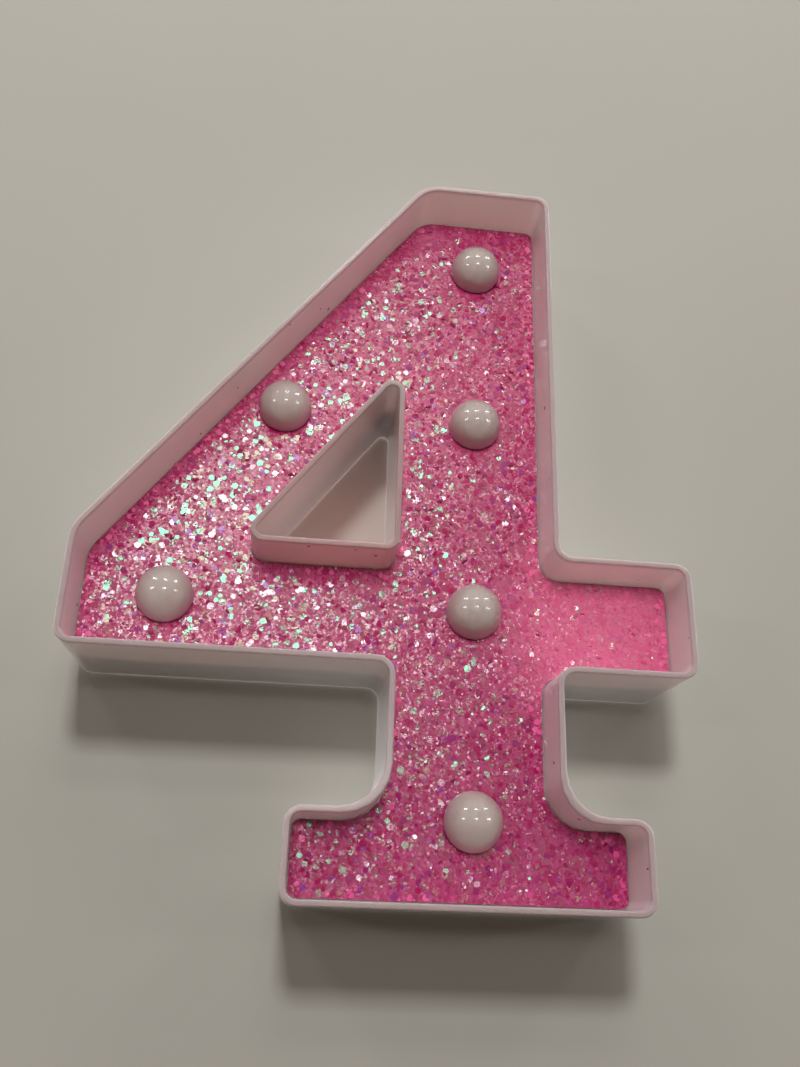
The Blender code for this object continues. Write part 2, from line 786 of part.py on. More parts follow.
def post_layers(place, radius, top, pilot_radius, pilot_depth):
    """A round post on the back of the face plate, with a pilot hole in its end."""
    outside = circle(place, radius, POST_STEPS)
    pilot = circle(place, pilot_radius, POST_STEPS)
    return [(outside, FACE_BACK), (outside, top), (pilot, top), (pilot, top - pilot_depth)]


def add_front_housing():
    """One moulding: the channel, the counter's wall, the face plate, the battery bay and the posts."""
    section = channel_section()
    walls = [
        [(number_outline(inset), depth) for inset, depth in section],
        [(counter_outline(inset), depth) for inset, depth in section],
    ]
    for place in bulb_places():
        hole = circle(place, NECK_RADIUS + CLEARANCE, BULB_STEPS)
        walls.append([(hole, FACE_BACK), (hole, FACE_FRONT)])
    outside = bay_rectangle(BAY_WALL, BAY_CORNER_RADIUS + BAY_WALL)
    inside = bay_rectangle(0.0, BAY_CORNER_RADIUS)
    pockets = [[(outside, FACE_BACK), (outside, BAY_BACK), (inside, BAY_BACK), (inside, FACE_BACK)]]
    for place in boss_places():
        pilot = SCREW_RADIUS + CLEARANCE
        pockets.append(post_layers(place, BOSS_RADIUS, LEDGE_TOP, pilot, PILOT_DEPTH))
    for place in switch_screw_places():
        pilot = SWITCH_SCREW_RADIUS + CLEARANCE
        pockets.append(post_layers(place, POST_RADIUS, POST_BACK, pilot, POST_PILOT_DEPTH))
    add_object("front_housing", plate("front_housing", walls, pockets), "white_plastic")


def add_glitter_sheet():
    """The sheet that lines the recess, cut to the face's outline and pierced for the bulbs."""
    inset = WALL + DRAFT + CLEARANCE
    outlines = [number_outline(inset), counter_outline(inset)]
    outlines += [circle(place, NECK_RADIUS + CLEARANCE, BULB_STEPS) for place in bulb_places()]
    walls = [[(points, SHEET_FRONT), (points, SHEET_BACK)] for points in outlines]
    add_object("glitter_sheet", plate("glitter_sheet", walls), "glitter")


def bulb_profile():
    """A hollow globe with a flat foot on the sheet and an open neck through the face."""
    centre = SHEET_FRONT - BULB_STAND
    foot = SHEET_FRONT - CLEARANCE
    floor = foot - BULB_WALL
    bore = LED_RADIUS + CLEARANCE
    inner_radius = BULB_RADIUS - BULB_WALL
    outer_end = math.acos((centre - foot) / BULB_RADIUS)
    inner_end = math.acos((centre - floor) / inner_radius)
    return [
        *dome(BULB_RADIUS, centre, 0.0, outer_end, DOME_STEPS),
        (NECK_RADIUS, foot),
        (NECK_RADIUS, NECK_END),
        (bore, NECK_END),
        (bore, floor),
        *dome(inner_radius, centre, inner_end, 0.0, INNER_DOME_STEPS),
    ]


def diode_profile():
    """A diode's resin body: a flange, a straight side and a round tip."""
    centre = FLANGE_FRONT - LED_LENGTH + LED_RADIUS
    return [
        *dome(LED_RADIUS, centre, 0.0, QUARTER, LED_DOME_STEPS),
        (LED_RADIUS, FLANGE_FRONT),
        (LED_FLANGE_RADIUS, FLANGE_FRONT),
        (LED_FLANGE_RADIUS, FLANGE_BACK),
        (0.0, FLANGE_BACK),
    ]


def add_bulbs():
    """The six bulbs, each with the diode that sits in its neck."""
    globe = turned("bulb_cap", bulb_profile(), BULB_STEPS)
    body = turned("led", diode_profile(), LED_STEPS)
    for number, place in enumerate(bulb_places(), start=1):
        where = (place.x, 0.0, place.y)
        add_object(f"bulb_cap_{number}", globe, "milky_plastic", where)
        diode = add_object(f"led_{number}", body, "clear_resin", where, (0.0, diode_turn(place), 0.0))
        for side, reach in ((-1, CATHODE_LEAD), (1, ANODE_LEAD)):
            length = reach + LEAD_ROOT
            lead = box(f"lead_shape_{number}_{side}", (LEAD_SIDE, length, LEAD_SIDE))
            middle = FLANGE_BACK + reach - length / 2
            combine(diode, f"lead_{number}_{side}", lead, "UNION", (side * LEAD_PITCH / 2, middle, 0.0))


# The wires


def add_bus_wires():
    for name, side, depth, material in (
        ("cathode_bus", -1, CATHODE_DEPTH, "black_insulation"),
        ("anode_bus", 1, ANODE_DEPTH, "red_insulation"),
    ):
        add_object(name, tube(name, bus_path(side, depth), WIRE_RADIUS, WIRE_ROUNDNESS), material)


def add_leads():
    """The three leads: contact to anode bus, contact to switch, and switch to cathode bus."""
    gap = passage()
    _, _, bay_bottom, _ = bay_edges()
    low, high = cell_heights()
    _, terminal, far_terminal = terminal_places()
    junction = wire_junction()
    half = WIRE_LAP / 2
    lap = ANODE_DEPTH + LAP_DEPTH
    positive = [
        (gap, TAG_WIRE_DEPTH, high + half),
        (gap, TAG_WIRE_DEPTH, high - half),
        (gap, lap, high - WIRE_LAP * 2),
        (gap, lap, high - WIRE_LAP * 3),
    ]
    bend = Vector((gap, bay_bottom)).lerp(far_terminal, 1 / 2)
    negative = [
        (gap, TAG_WIRE_DEPTH, low + half),
        (gap, TAG_WIRE_DEPTH, low - half),
        (gap, TAG_WIRE_DEPTH, bay_bottom),
        (bend.x, (TAG_WIRE_DEPTH + TERMINAL_WIRE_DEPTH) / 2, bend.y),
        (far_terminal.x + half, TERMINAL_WIRE_DEPTH, far_terminal.y + half),
        (far_terminal.x, TERMINAL_WIRE_DEPTH, far_terminal.y),
    ]
    lap = CATHODE_DEPTH - LAP_DEPTH
    switched = [
        (terminal.x, TERMINAL_WIRE_DEPTH, terminal.y + half),
        (terminal.x, TERMINAL_WIRE_DEPTH, terminal.y - half),
        (junction.x + WIRE_BEND, lap, junction.y + WIRE_BEND),
        (junction.x + half, lap, junction.y),
        (junction.x - half, lap, junction.y),
    ]
    for name, points, material in (
        ("positive_lead", positive, "red_insulation"),
        ("negative_lead", negative, "black_insulation"),
        ("switch_lead", switched, "black_insulation"),
    ):
        path = smooth_path([Vector(point) for point in points])
        add_object(name, tube(name, path, WIRE_RADIUS, WIRE_ROUNDNESS), material)


# The battery bay's contents


def cell_profile():
    """A cell from its flat end, at zero depth, to its nub."""
    shoulder = CELL_LENGTH - CELL_NUB_HEIGHT
    return [
        (0.0, 0.0),
        (CELL_RADIUS - CELL_EDGE, 0.0),
        (CELL_RADIUS, CELL_EDGE),
        (CELL_RADIUS, shoulder - CELL_EDGE),
        (CELL_RADIUS - CELL_EDGE, shoulder),
        (CELL_NUB_RADIUS, shoulder),
        (CELL_NUB_RADIUS, CELL_LENGTH),
        (0.0, CELL_LENGTH),
    ]


def add_cells():
    """Two cells side by side, the upper one's nub to the right and the lower one's to the left."""
    left, right, _, _ = bay_edges()
    low, high = cell_heights()
    shape = turned("battery_cell", cell_profile(), CELL_STEPS)
    end = CLEARANCE + CONTACT_THICKNESS + CLEARANCE
    upper_flat = right - end - CELL_LENGTH
    lower_flat = left + end + CELL_LENGTH
    upper = (upper_flat, CELL_DEPTH, high)
    lower = (lower_flat, CELL_DEPTH, low)
    add_object("battery_cell_1", shape, "cell_jacket", upper, (0.0, 0.0, -QUARTER))
    add_object("battery_cell_2", shape, "cell_jacket", lower, (0.0, 0.0, QUARTER))


def add_contacts():
    """Flat strips against the bay's short walls. Two have a tag that is bent over the right wall."""
    left, right, _, _ = bay_edges()
    low, high = cell_heights()
    front = FACE_BACK + CLEARANCE
    back = BAY_BACK - CONTACT_BELOW_TOP
    depth = (front + back) / 2
    strip = (CONTACT_THICKNESS, back - front, CONTACT_WIDTH)
    right_face = right - CLEARANCE - CONTACT_THICKNESS / 2
    riser = (CONTACT_THICKNESS, TAG_BACK - depth, TAG_WIDTH)
    tag_reach = CLEARANCE + CONTACT_THICKNESS + BAY_WALL + TAG_REACH
    tag = (tag_reach, CONTACT_THICKNESS, TAG_WIDTH)
    for name, height in (("positive_contact", high), ("negative_contact", low)):
        contact = add_object(name, box(name, strip), "steel", (right_face, depth, height))
        combine(contact, f"{name}_riser", box(f"{name}_riser", riser), "UNION", (0.0, riser[1] / 2, 0.0))
        out = (tag_reach - CONTACT_THICKNESS) / 2
        over = (TAG_FRONT + TAG_BACK) / 2 - depth
        combine(contact, f"{name}_tag", box(f"{name}_tag", tag), "UNION", (out, over, 0.0))
    left_face = left + CLEARANCE + CONTACT_THICKNESS / 2
    bridge = add_object("bridge_contact", box("bridge_contact", strip), "steel", (left_face, depth, low))
    span = high - low
    link = box("bridge_link", (CONTACT_THICKNESS, BRIDGE_WIDTH, span))
    combine(bridge, "bridge_link", link, "UNION", (0.0, 0.0, span / 2))
    combine(bridge, "bridge_pad", box("bridge_pad", strip), "UNION", (0.0, 0.0, span))


def add_springs():
    """A conical spring between each cell's flat end and the contact behind it."""
    left, right, _, _ = bay_edges()
    low, high = cell_heights()
    space = CELL_END_ROOM - CONTACT_THICKNESS * 2 - CLEARANCE * 3
    base = CLEARANCE + CONTACT_THICKNESS + CLEARANCE + SPRING_WIRE_RADIUS
    length = space - CLEARANCE * 2 - SPRING_WIRE_RADIUS * 2
    points = spring_points(SPRING_TURNS, SPRING_BASE_RADIUS, SPRING_TIP_RADIUS, length)
    print(f"least gap of a battery spring to itself: {least_gap(points, SPRING_WIRE_RADIUS) / MM:.2f} mm")
    wire = tube("spring", points, SPRING_WIRE_RADIUS, SPRING_ROUNDNESS)
    add_object("bridge_spring", wire, "steel", (left + base, CELL_DEPTH, high))
    add_object("negative_spring", wire, "steel", (right - base, CELL_DEPTH, low), (0.0, 0.0, QUARTER * 2))


# The switch


def add_switch():
    """A slide switch: a moulded base under a steel frame, a knob and three terminals."""
    slot_length = KNOB_LENGTH + KNOB_TRAVEL + CLEARANCE * 2
    slot_width = KNOB_WIDTH + CLEARANCE * 2
    slot = rectangle(SWITCH_PLACE, slot_length, slot_width, SWITCH_CORNER_RADIUS)
    edge = rectangle(SWITCH_PLACE, FRAME_LENGTH, FRAME_WIDTH, FRAME_CORNER_RADIUS)
    outlines = [edge, slot]
    for place in switch_screw_places():
        outlines.append(circle(place, SWITCH_SCREW_RADIUS + CLEARANCE, POST_STEPS))
    walls = [[(points, FRAME_FRONT), (points, FRAME_BACK)] for points in outlines]
    add_object("switch_frame", plate("switch_frame", walls), "steel")

    outside = rectangle(SWITCH_PLACE, SWITCH_BASE_LENGTH, SWITCH_BASE_WIDTH, SWITCH_CORNER_RADIUS)
    pocket_length = KNOB_FOOT_LENGTH + KNOB_TRAVEL + CLEARANCE * 2
    pocket_width = KNOB_FOOT_WIDTH + CLEARANCE * 2
    pocket = rectangle(SWITCH_PLACE, pocket_length, pocket_width, SWITCH_CORNER_RADIUS)
    base = [
        (outside, SWITCH_BASE_FRONT),
        (outside, POST_BACK),
        (pocket, POST_BACK),
        (pocket, KNOB_FOOT_FRONT - CLEARANCE),
    ]
    add_object("switch_base", plate("switch_base", [base]), "black_plastic")

    start = Vector((0.0, 0.0))
    foot = rectangle(start, KNOB_FOOT_LENGTH, KNOB_FOOT_WIDTH, SWITCH_CORNER_RADIUS)
    stem = rectangle(start, KNOB_LENGTH, KNOB_WIDTH, SWITCH_CORNER_RADIUS)
    knob = [
        (foot, KNOB_FOOT_FRONT),
        (foot, POST_BACK),
        (stem, POST_BACK),
        (stem, BACK - KNOB_BELOW_BACK),
    ]
    off_place = (SWITCH_PLACE.x - KNOB_TRAVEL / 2, 0.0, SWITCH_PLACE.y)
    add_object("switch_knob", plate("switch_knob", [knob]), "black_plastic", off_place)

    blade = box("switch_terminal", (TERMINAL_WIDTH, TERMINAL_LENGTH, TERMINAL_THICKNESS))
    depth = (TERMINAL_FRONT + TERMINAL_BACK) / 2
    for number, place in enumerate(terminal_places(), start=1):
        add_object(f"switch_terminal_{number}", blade, "steel", (place.x, depth, place.y))

    screw = screw_mesh(
        "switch_screw",
        SWITCH_SCREW_RADIUS,
        SWITCH_SCREW_LENGTH,
        SWITCH_SCREW_HEAD_RADIUS,
        SWITCH_SCREW_HEAD_HEIGHT,
    )
    for number, place in enumerate(switch_screw_places(), start=1):
        add_object(f"switch_screw_{number}", screw, "steel", (place.x, SWITCH_SCREW_SEAT, place.y))


# The back cover, its screws and the battery door


def add_back_cover():
    """A flat cover inside the channel's walls, on the ledge, with a stepped opening for the door."""
    inset = WALL + CLEARANCE
    outlines = [number_outline(inset), counter_outline(inset), keyhole(KEYHOLE_PLACE)]
    walls = [[(points, COVER_INNER), (points, BACK)] for points in outlines]
    seat = SCREW_SEAT - CLEARANCE
    for place in boss_places():
        hole = circle(place, SCREW_RADIUS + CLEARANCE, POST_STEPS)
        sink = circle(place, SCREW_HEAD_RADIUS + CLEARANCE, POST_STEPS)
        walls.append([(hole, COVER_INNER), (hole, seat), (sink, seat), (sink, BACK)])
    slot_length = KNOB_LENGTH + KNOB_TRAVEL + CLEARANCE * 2
    slot_width = KNOB_WIDTH + CLEARANCE * 2
    slot = rectangle(SWITCH_PLACE, slot_length, slot_width, SWITCH_CORNER_RADIUS)
    dish_length = slot_length + DISH_MARGIN * 2
    dish_width = slot_width + DISH_MARGIN * 2
    dish = rectangle(SWITCH_PLACE, dish_length, dish_width, SWITCH_CORNER_RADIUS + DISH_MARGIN)
    walls.append([(slot, COVER_INNER), (slot, DISH_FLOOR), (dish, DISH_FLOOR), (dish, BACK)])
    cover = add_object("back_cover", plate("back_cover", walls), "white_plastic")

    _, right, bottom, top = bay_edges()
    recess = bay_rectangle(DOOR_LEDGE, DOOR_CORNER_RADIUS)
    through = bay_rectangle(0.0, BAY_CORNER_RADIUS)
    axis = hinge_place()
    low = COVER_INNER - OVERRUN
    high = BACK + OVERRUN
    combine(cover, "door_recess", prism("door_recess", recess, DOOR_SEAT, high), "DIFFERENCE")
    combine(cover, "door_opening", prism("door_opening", through, low, high), "DIFFERENCE")
    barrel_space = BARREL_RADIUS + CLEARANCE
    height = top - bottom + DOOR_LEDGE * 2
    hinge_space = box("hinge_space", (barrel_space * 2, high - low, height))
    middle = (low + high) / 2
    combine(cover, "hinge_space", hinge_space, "DIFFERENCE", (axis.x, middle, axis.z))
    pin_space = HINGE_PIN_LENGTH + HINGE_PIN_CLEARANCE
    reach = height / 2 + pin_space - CLEARANCE
    bore = circle(Vector((0.0, 0.0)), HINGE_PIN_RADIUS + HINGE_PIN_CLEARANCE, HINGE_STEPS)
    holes = prism("pin_holes", bore, -reach, reach)
    combine(cover, "pin_holes", holes, "DIFFERENCE", axis, (QUARTER, 0.0, 0.0))


def door_profile(width):
    """The door's section about its hinge axis: a flat plate that runs into a round barrel."""
    meet = math.asin((HINGE_DEPTH - DOOR_FRONT) / BARREL_RADIUS)
    sweep = math.pi + QUARTER - meet
    barrel = []
    for step in range(HINGE_STEPS + 1):
        turn = QUARTER - sweep * step / HINGE_STEPS
        barrel.append(Vector((math.cos(turn), -math.sin(turn))) * BARREL_RADIUS)
    return [
        Vector((-width, -BARREL_RADIUS)),
        *barrel,
        Vector((-width, HINGE_DEPTH - DOOR_FRONT)),
    ]


def add_battery_door():
    """The door: a plate and barrel of one section, with a pin at each end, a tongue and a finger dish."""
    left, _, bottom, top = bay_edges()
    axis = hinge_place()
    width = axis.x - (left - DOOR_LEDGE + CLEARANCE)
    half = (top - bottom) / 2 + DOOR_LEDGE - CLEARANCE
    section = door_profile(width)
    pin = circle(Vector((0.0, 0.0)), HINGE_PIN_RADIUS, HINGE_STEPS)
    mesh = bmesh.new()
    ends = stack_rings(mesh, [(section, -half), (section, half)])
    for end, side in zip(ends, (-1, 1)):
        tip = side * (half + HINGE_PIN_LENGTH)
        first, last = stack_rings(mesh, [(pin, side * half), (pin, tip)])
        fill(mesh, [end, first])
        fill(mesh, [last])
    corners = [edge for edge in mesh.edges if is_door_corner(edge, width)]
    bmesh.ops.bevel(
        mesh,
        geom=corners,
        offset=DOOR_CORNER_RADIUS - CLEARANCE,
        segments=DOOR_CORNER_STEPS,
        affect="EDGES",
        profile=0.5,
    )
    data = finish_mesh(mesh, "battery_door")
    door = add_object("battery_door", data, "white_plastic", axis, (QUARTER, 0.0, 0.0))

    from_edge = DOOR_LEDGE + LATCH_THICKNESS / 2
    tongue_depth = HINGE_DEPTH - DOOR_FRONT + (LATCH_DEPTH - LATCH_ROOT) / 2
    tongue = box("latch", (LATCH_THICKNESS, LATCH_WIDTH, LATCH_DEPTH + LATCH_ROOT))
    combine(door, "latch", tongue, "UNION", (from_edge - width, 0.0, tongue_depth))
    dish = rectangle(Vector((0.0, 0.0)), GRIP_LENGTH, GRIP_WIDTH, GRIP_CORNER_RADIUS)
    grip = prism("grip", dish, -OVERRUN, GRIP_DEPTH)
    place = (GRIP_FROM_EDGE + GRIP_LENGTH / 2 - width, 0.0, -BARREL_RADIUS)
    combine(door, "grip", grip, "DIFFERENCE", place, (QUARTER, 0.0, 0.0))


def is_door_corner(edge, width):
    """Whether an edge is one of the two short ones at the corners of the door's free side."""
    start, end = (corner.co for corner in edge.verts)
    level = abs(start.y - end.y) < MERGE_DISTANCE
    free = max(start.x, end.x) < MERGE_DISTANCE - width
    return level and free


def add_cover_screws():
    screw = screw_mesh("cover_screw", SCREW_RADIUS, SCREW_LENGTH, SCREW_HEAD_RADIUS, SCREW_HEAD_HEIGHT)
    for number, place in enumerate(boss_places(), start=1):
        add_object(f"cover_screw_{number}", screw, "steel", (place.x, SCREW_SEAT, place.y))


def main():
    for piece in list(bpy.data.objects):
        bpy.data.objects.remove(piece)
    number = bpy.data.objects.new("number", None)
    bpy.context.scene.collection.objects.link(number)
    add_materials()
    add_front_housing()
    add_glitter_sheet()
    add_bulbs()
    add_bus_wires()
    add_leads()
    add_cells()
    add_contacts()
    add_springs()
    add_switch()
    add_back_cover()
    add_battery_door()
    add_cover_screws()


if __name__ == "__main__":
    main()
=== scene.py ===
"""The look of a light-up marquee number: moulded housing, glitter bed, bulbs and workings.

The packed number is the fixed frame. Each operator dresses one piece or one group of like
pieces round it, and one makes the stage. Lengths are in metres, the number stands upright on
its base and its open front looks towards -Y.
"""

import json
import math
import random
from collections import namedtuple

import bmesh
import bpy
from bpy.props import FloatProperty, FloatVectorProperty, IntProperty, PointerProperty
from mathutils import Euler, Matrix, Quaternion, Vector
from mathutils.bvhtree import BVHTree

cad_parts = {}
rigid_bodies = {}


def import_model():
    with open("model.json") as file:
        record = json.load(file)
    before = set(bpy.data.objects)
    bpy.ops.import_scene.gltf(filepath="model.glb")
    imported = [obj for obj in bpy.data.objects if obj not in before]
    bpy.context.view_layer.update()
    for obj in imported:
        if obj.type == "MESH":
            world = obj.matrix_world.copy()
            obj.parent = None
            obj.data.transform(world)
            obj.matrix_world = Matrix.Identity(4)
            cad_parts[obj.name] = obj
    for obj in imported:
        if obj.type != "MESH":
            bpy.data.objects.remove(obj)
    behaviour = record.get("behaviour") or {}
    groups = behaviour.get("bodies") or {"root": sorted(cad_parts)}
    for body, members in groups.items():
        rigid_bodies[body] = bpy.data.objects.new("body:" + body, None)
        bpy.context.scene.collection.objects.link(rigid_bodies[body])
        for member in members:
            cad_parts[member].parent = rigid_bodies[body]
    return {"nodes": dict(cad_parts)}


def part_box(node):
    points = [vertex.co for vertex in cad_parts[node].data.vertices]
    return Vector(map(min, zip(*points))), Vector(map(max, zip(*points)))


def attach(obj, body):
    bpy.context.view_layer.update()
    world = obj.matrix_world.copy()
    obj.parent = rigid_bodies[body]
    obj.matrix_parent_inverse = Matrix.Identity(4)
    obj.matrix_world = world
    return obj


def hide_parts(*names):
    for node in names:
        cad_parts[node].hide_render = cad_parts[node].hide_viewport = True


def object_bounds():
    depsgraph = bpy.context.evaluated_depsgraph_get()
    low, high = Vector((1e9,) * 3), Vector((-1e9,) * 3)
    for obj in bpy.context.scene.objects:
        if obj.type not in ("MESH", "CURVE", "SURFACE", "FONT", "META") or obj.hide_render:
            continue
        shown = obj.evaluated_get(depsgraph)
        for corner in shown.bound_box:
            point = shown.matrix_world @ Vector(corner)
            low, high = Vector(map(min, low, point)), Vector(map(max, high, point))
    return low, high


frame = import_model()
CAD_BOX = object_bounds()

bl_info = {
    "name": "Marquee number",
    "version": (1, 0, 0),
    "blender": (4, 5, 0),
    "location": "View3D > Sidebar > Marquee",
    "description": "Dresses a light-up marquee number and sets its stage",
    "category": "Object",
}

MM = 0.001
QUARTER = math.radians(90)
SHARP_ANGLE = math.radians(38)
FLAT_ANGLE = math.radians(0.2)
MERGE_DISTANCE = 0.002 * MM
THIN_ROUND = 0.08 * MM
BLOCK_ROUND = 0.15 * MM
FINE_GRAIN = 0.004 * MM
INWARD = Vector((0.0, 1.0, 0.0))
RISE = (0.0, 1.0)
FALL = (1.0, 0.0)
COUNTER_PLACE = Vector((-12.0, 0.0, 108.0)) * MM


# Settings


def colour_property(name, subject, default):
    description = f"Colour of {subject}"
    options = {"subtype": "COLOR", "size": 3, "min": 0, "max": 1}
    return FloatVectorProperty(name=name, description=description, default=default, **options)


def length_property(name, description, default):
    options = {"subtype": "DISTANCE", "unit": "LENGTH", "min": 0}
    return FloatProperty(name=name, description=description, default=default, **options)


def count_property(name, subject, default):
    return IntProperty(name=name, description=f"How many {subject}", default=default, min=0)


class HousingSettings(bpy.types.PropertyGroup):
    """The white moulded plastic."""

    plastic: colour_property("Plastic", "the moulded plastic", (0.65, 0.62, 0.615))
    dust: colour_property("Dust", "the faint dusty patches", (0.58, 0.54, 0.535))
    knob: colour_property("Knob", "the switch's moulded pieces", (0.045, 0.045, 0.048))
    edge_round: length_property("Edge round", "Radius of the moulding's sharp edges", 0.12 * MM)


class GlitterSettings(bpy.types.PropertyGroup):
    """The glitter in the recess."""

    rose: colour_property("Rose", "the palest flakes", (0.46, 0.029, 0.13))
    magenta: colour_property("Magenta", "the full pink flakes", (0.42, 0.010, 0.10))
    haze: colour_property("Haze", "the palest patches", (0.55, 0.10, 0.215))
    plum: colour_property("Plum", "the darkest flakes", (0.30, 0.02, 0.13))
    violet: colour_property("Violet", "the violet flakes", (0.28, 0.06, 0.25))
    # The flakes beside the walls are painted brighter: painted light for the light that comes
    # through the translucent walls. This colour is also the painted light in the short arm.
    edge: colour_property("Edge", "the flakes beside the walls", (0.90, 0.17, 0.34))
    opal: colour_property("Opal", "the opal flakes", (0.46, 0.02, 0.145))
    chunky: length_property("Chunky flake", "Width of the chunky flakes", 1.75 * MM)
    fine: length_property("Fine flake", "Width of the fine flakes", 0.8 * MM)
    thickness: length_property("Thickness", "Thickness of a flake", 0.03 * MM)
    chunky_count: count_property("Chunky flakes", "chunky flakes", 4300)
    fine_count: count_property("Fine flakes", "fine flakes", 5600)
    stray_count: count_property("Stray flakes", "flakes cling to the walls", 48)
    tilt: FloatProperty(
        name="Tilt",
        description="Usual tilt of a flake",
        default=math.radians(2.4),
        subtype="ANGLE",
        unit="ROTATION",
    )
    seed: IntProperty(name="Seed", description="Start of the random draws", default=4)


class BulbSettings(bpy.types.PropertyGroup):
    """The milky bulbs and the diodes in them."""

    milk: colour_property("Milk", "the milky plastic", (0.415, 0.357, 0.332))
    resin: colour_property("Resin", "the diodes' resin", (0.93, 0.94, 0.90))
    steps: IntProperty(name="Steps", description="Faces round a bulb", default=56, min=12)


class WorkingsSettings(bpy.types.PropertyGroup):
    """What lies behind the face."""

    red: colour_property("Red", "the positive wires", (0.50, 0.02, 0.015))
    black: colour_property("Black", "the negative wires", (0.018, 0.018, 0.02))
    steel: colour_property("Steel", "the plated steel", (0.62, 0.61, 0.58))
    jacket: colour_property("Jacket", "the cells' sleeve", (0.10, 0.16, 0.20))
    band: colour_property("Band", "the bands on the sleeve", (0.66, 0.66, 0.64))


class StageSettings(bpy.types.PropertyGroup):
    """The wall, the floor and the light."""

    wall: colour_property("Wall", "the wall", (0.455, 0.44, 0.39))
    floor: colour_property("Floor", "the floor", (0.42, 0.41, 0.38))
    backdrop: colour_property("Backdrop", "the pale room behind", (0.66, 0.645, 0.60))
    sky: colour_property("Sky", "the light from all round", (1.0, 0.74, 0.60))
    reach: length_property("Reach", "Half the width of the wall and the floor", 1.6)
    gap: length_property("Gap", "Space between the number's back and the wall", 0.5 * MM)


SETTINGS = {
    "marquee_housing": HousingSettings,
    "marquee_glitter": GlitterSettings,
    "marquee_bulbs": BulbSettings,
    "marquee_workings": WorkingsSettings,
    "marquee_stage": StageSettings,
}


# Nodes


def rgba(colour):
    return (*colour, 1.0)


def node(tree, kind, inputs=(), **options):
    """A node with its options and its inputs, each a value or the socket that feeds it."""
    made = tree.nodes.new(f"ShaderNode{kind}")
    for key, value in options.items():
        setattr(made, key, value)
    for key, value in dict(inputs).items():
        if isinstance(value, bpy.types.NodeSocket):
            tree.links.new(value, made.inputs[key])
        else:
            made.inputs[key].default_value = value
    return made


def calculate(tree, operation, *values, **options):
    """The result of a Math node."""
    return node(tree, "Math", enumerate(values), operation=operation, **options).outputs[0]


def vector(tree, operation, first, second):
    """The result of a Vector Math node: a number for a distance or a dot product."""
    outputs = node(tree, "VectorMath", {0: first, 1: second}, operation=operation).outputs
    return outputs["Value" if operation in ("DISTANCE", "DOT_PRODUCT") else "Vector"]


def object_place(tree):
    return node(tree, "TexCoord").outputs["Object"]


def noise(tree, place, scale, detail=2.0):
    inputs = {"Vector": place, "Scale": scale, "Detail": detail, "Roughness": 0.6}
    return node(tree, "TexNoise", inputs).outputs["Fac"]


def spread(tree, value, source, target=RISE):
    """Maps a value's range on to another range, and clamps it."""
    inputs = {"Value": value, "From Min": source[0], "From Max": source[1]}
    inputs |= {"To Min": target[0], "To Max": target[1]}
    return node(tree, "MapRange", inputs).outputs["Result"]


def blend(tree, share, first, second, how="MIX"):
    """A colour that gives way to a second one, or that is multiplied by it, by a share."""
    inputs = {"Factor": share, 6: first, 7: second}
    return node(tree, "Mix", inputs, data_type="RGBA", blend_type=how).outputs[2]


# Node groups

GREY = (0.5, 0.5, 0.5, 1.0)
# Painted shade on the front faces of the walls, and painted pinkish light on the counter's walls,
# for the light that passes through the translucent plastic.
RIM_PAINTED_SHADE_DEPTHS = (CAD_BOX[0].y + 0.1 * MM, CAD_BOX[0].y + 1.6 * MM)
RIM_PAINTED_SHADE = (0.62, 0.53, 0.54)
COUNTER_PAINTED_LIGHT_REACH = (26.0 * MM, 38.0 * MM)
COUNTER_PAINTED_LIGHT = (0.98, 0.82, 0.805)
# Painted light on the lower half of each bulb, for the light that the real bulbs take from the
# glitter below.
BULB_PAINTED_LIGHT_HEIGHTS = (-8.0 * MM, 5.0 * MM)
BULB_PAINTED_LIGHT = (1.40, 1.36, 1.36)
# Painted shade on the glitter: darker towards the number's foot, where less light falls.
FOOT_PAINTED_SHADE_HEIGHTS = (25.0 * MM, 150.0 * MM)
FOOT_PAINTED_SHADE = (0.76, 0.43, 0.76)
# Painted light in the short arm: it brightens the glitter there out of the shade of the walls
# above, for the light that comes through the translucent walls.
PAINTED_GLOW_PLACE = Vector((64.0, 0.0, 79.0)) * MM
PAINTED_GLOW_REACH = (14.0 * MM, 36.0 * MM)
PAINTED_GLOW_SHARES = (0.6, 0.0)
SECOND_DRAW = 13.7


def start_group(name, inputs):
    """A node group with these inputs and defaults, and the sockets that give them."""
    tree = bpy.data.node_groups.new(name, "ShaderNodeTree")
    for label, value in inputs.items():
        kind = "NodeSocketFloat" if isinstance(value, float) else "NodeSocketColor"
        socket = tree.interface.new_socket(label, in_out="INPUT", socket_type=kind)
        socket.default_value = value
    for label, kind in (("Colour", "Color"), ("Roughness", "Float"), ("Height", "Float")):
        tree.interface.new_socket(label, in_out="OUTPUT", socket_type=f"NodeSocket{kind}")
    return tree, tree.nodes.new("NodeGroupInput").outputs


def end_group(tree, *results):
    """Feeds a node group's colour, roughness and height."""
    end = tree.nodes.new("NodeGroupOutput")
    for source, socket in zip(results, end.inputs):
        tree.links.new(source, socket)
    return tree


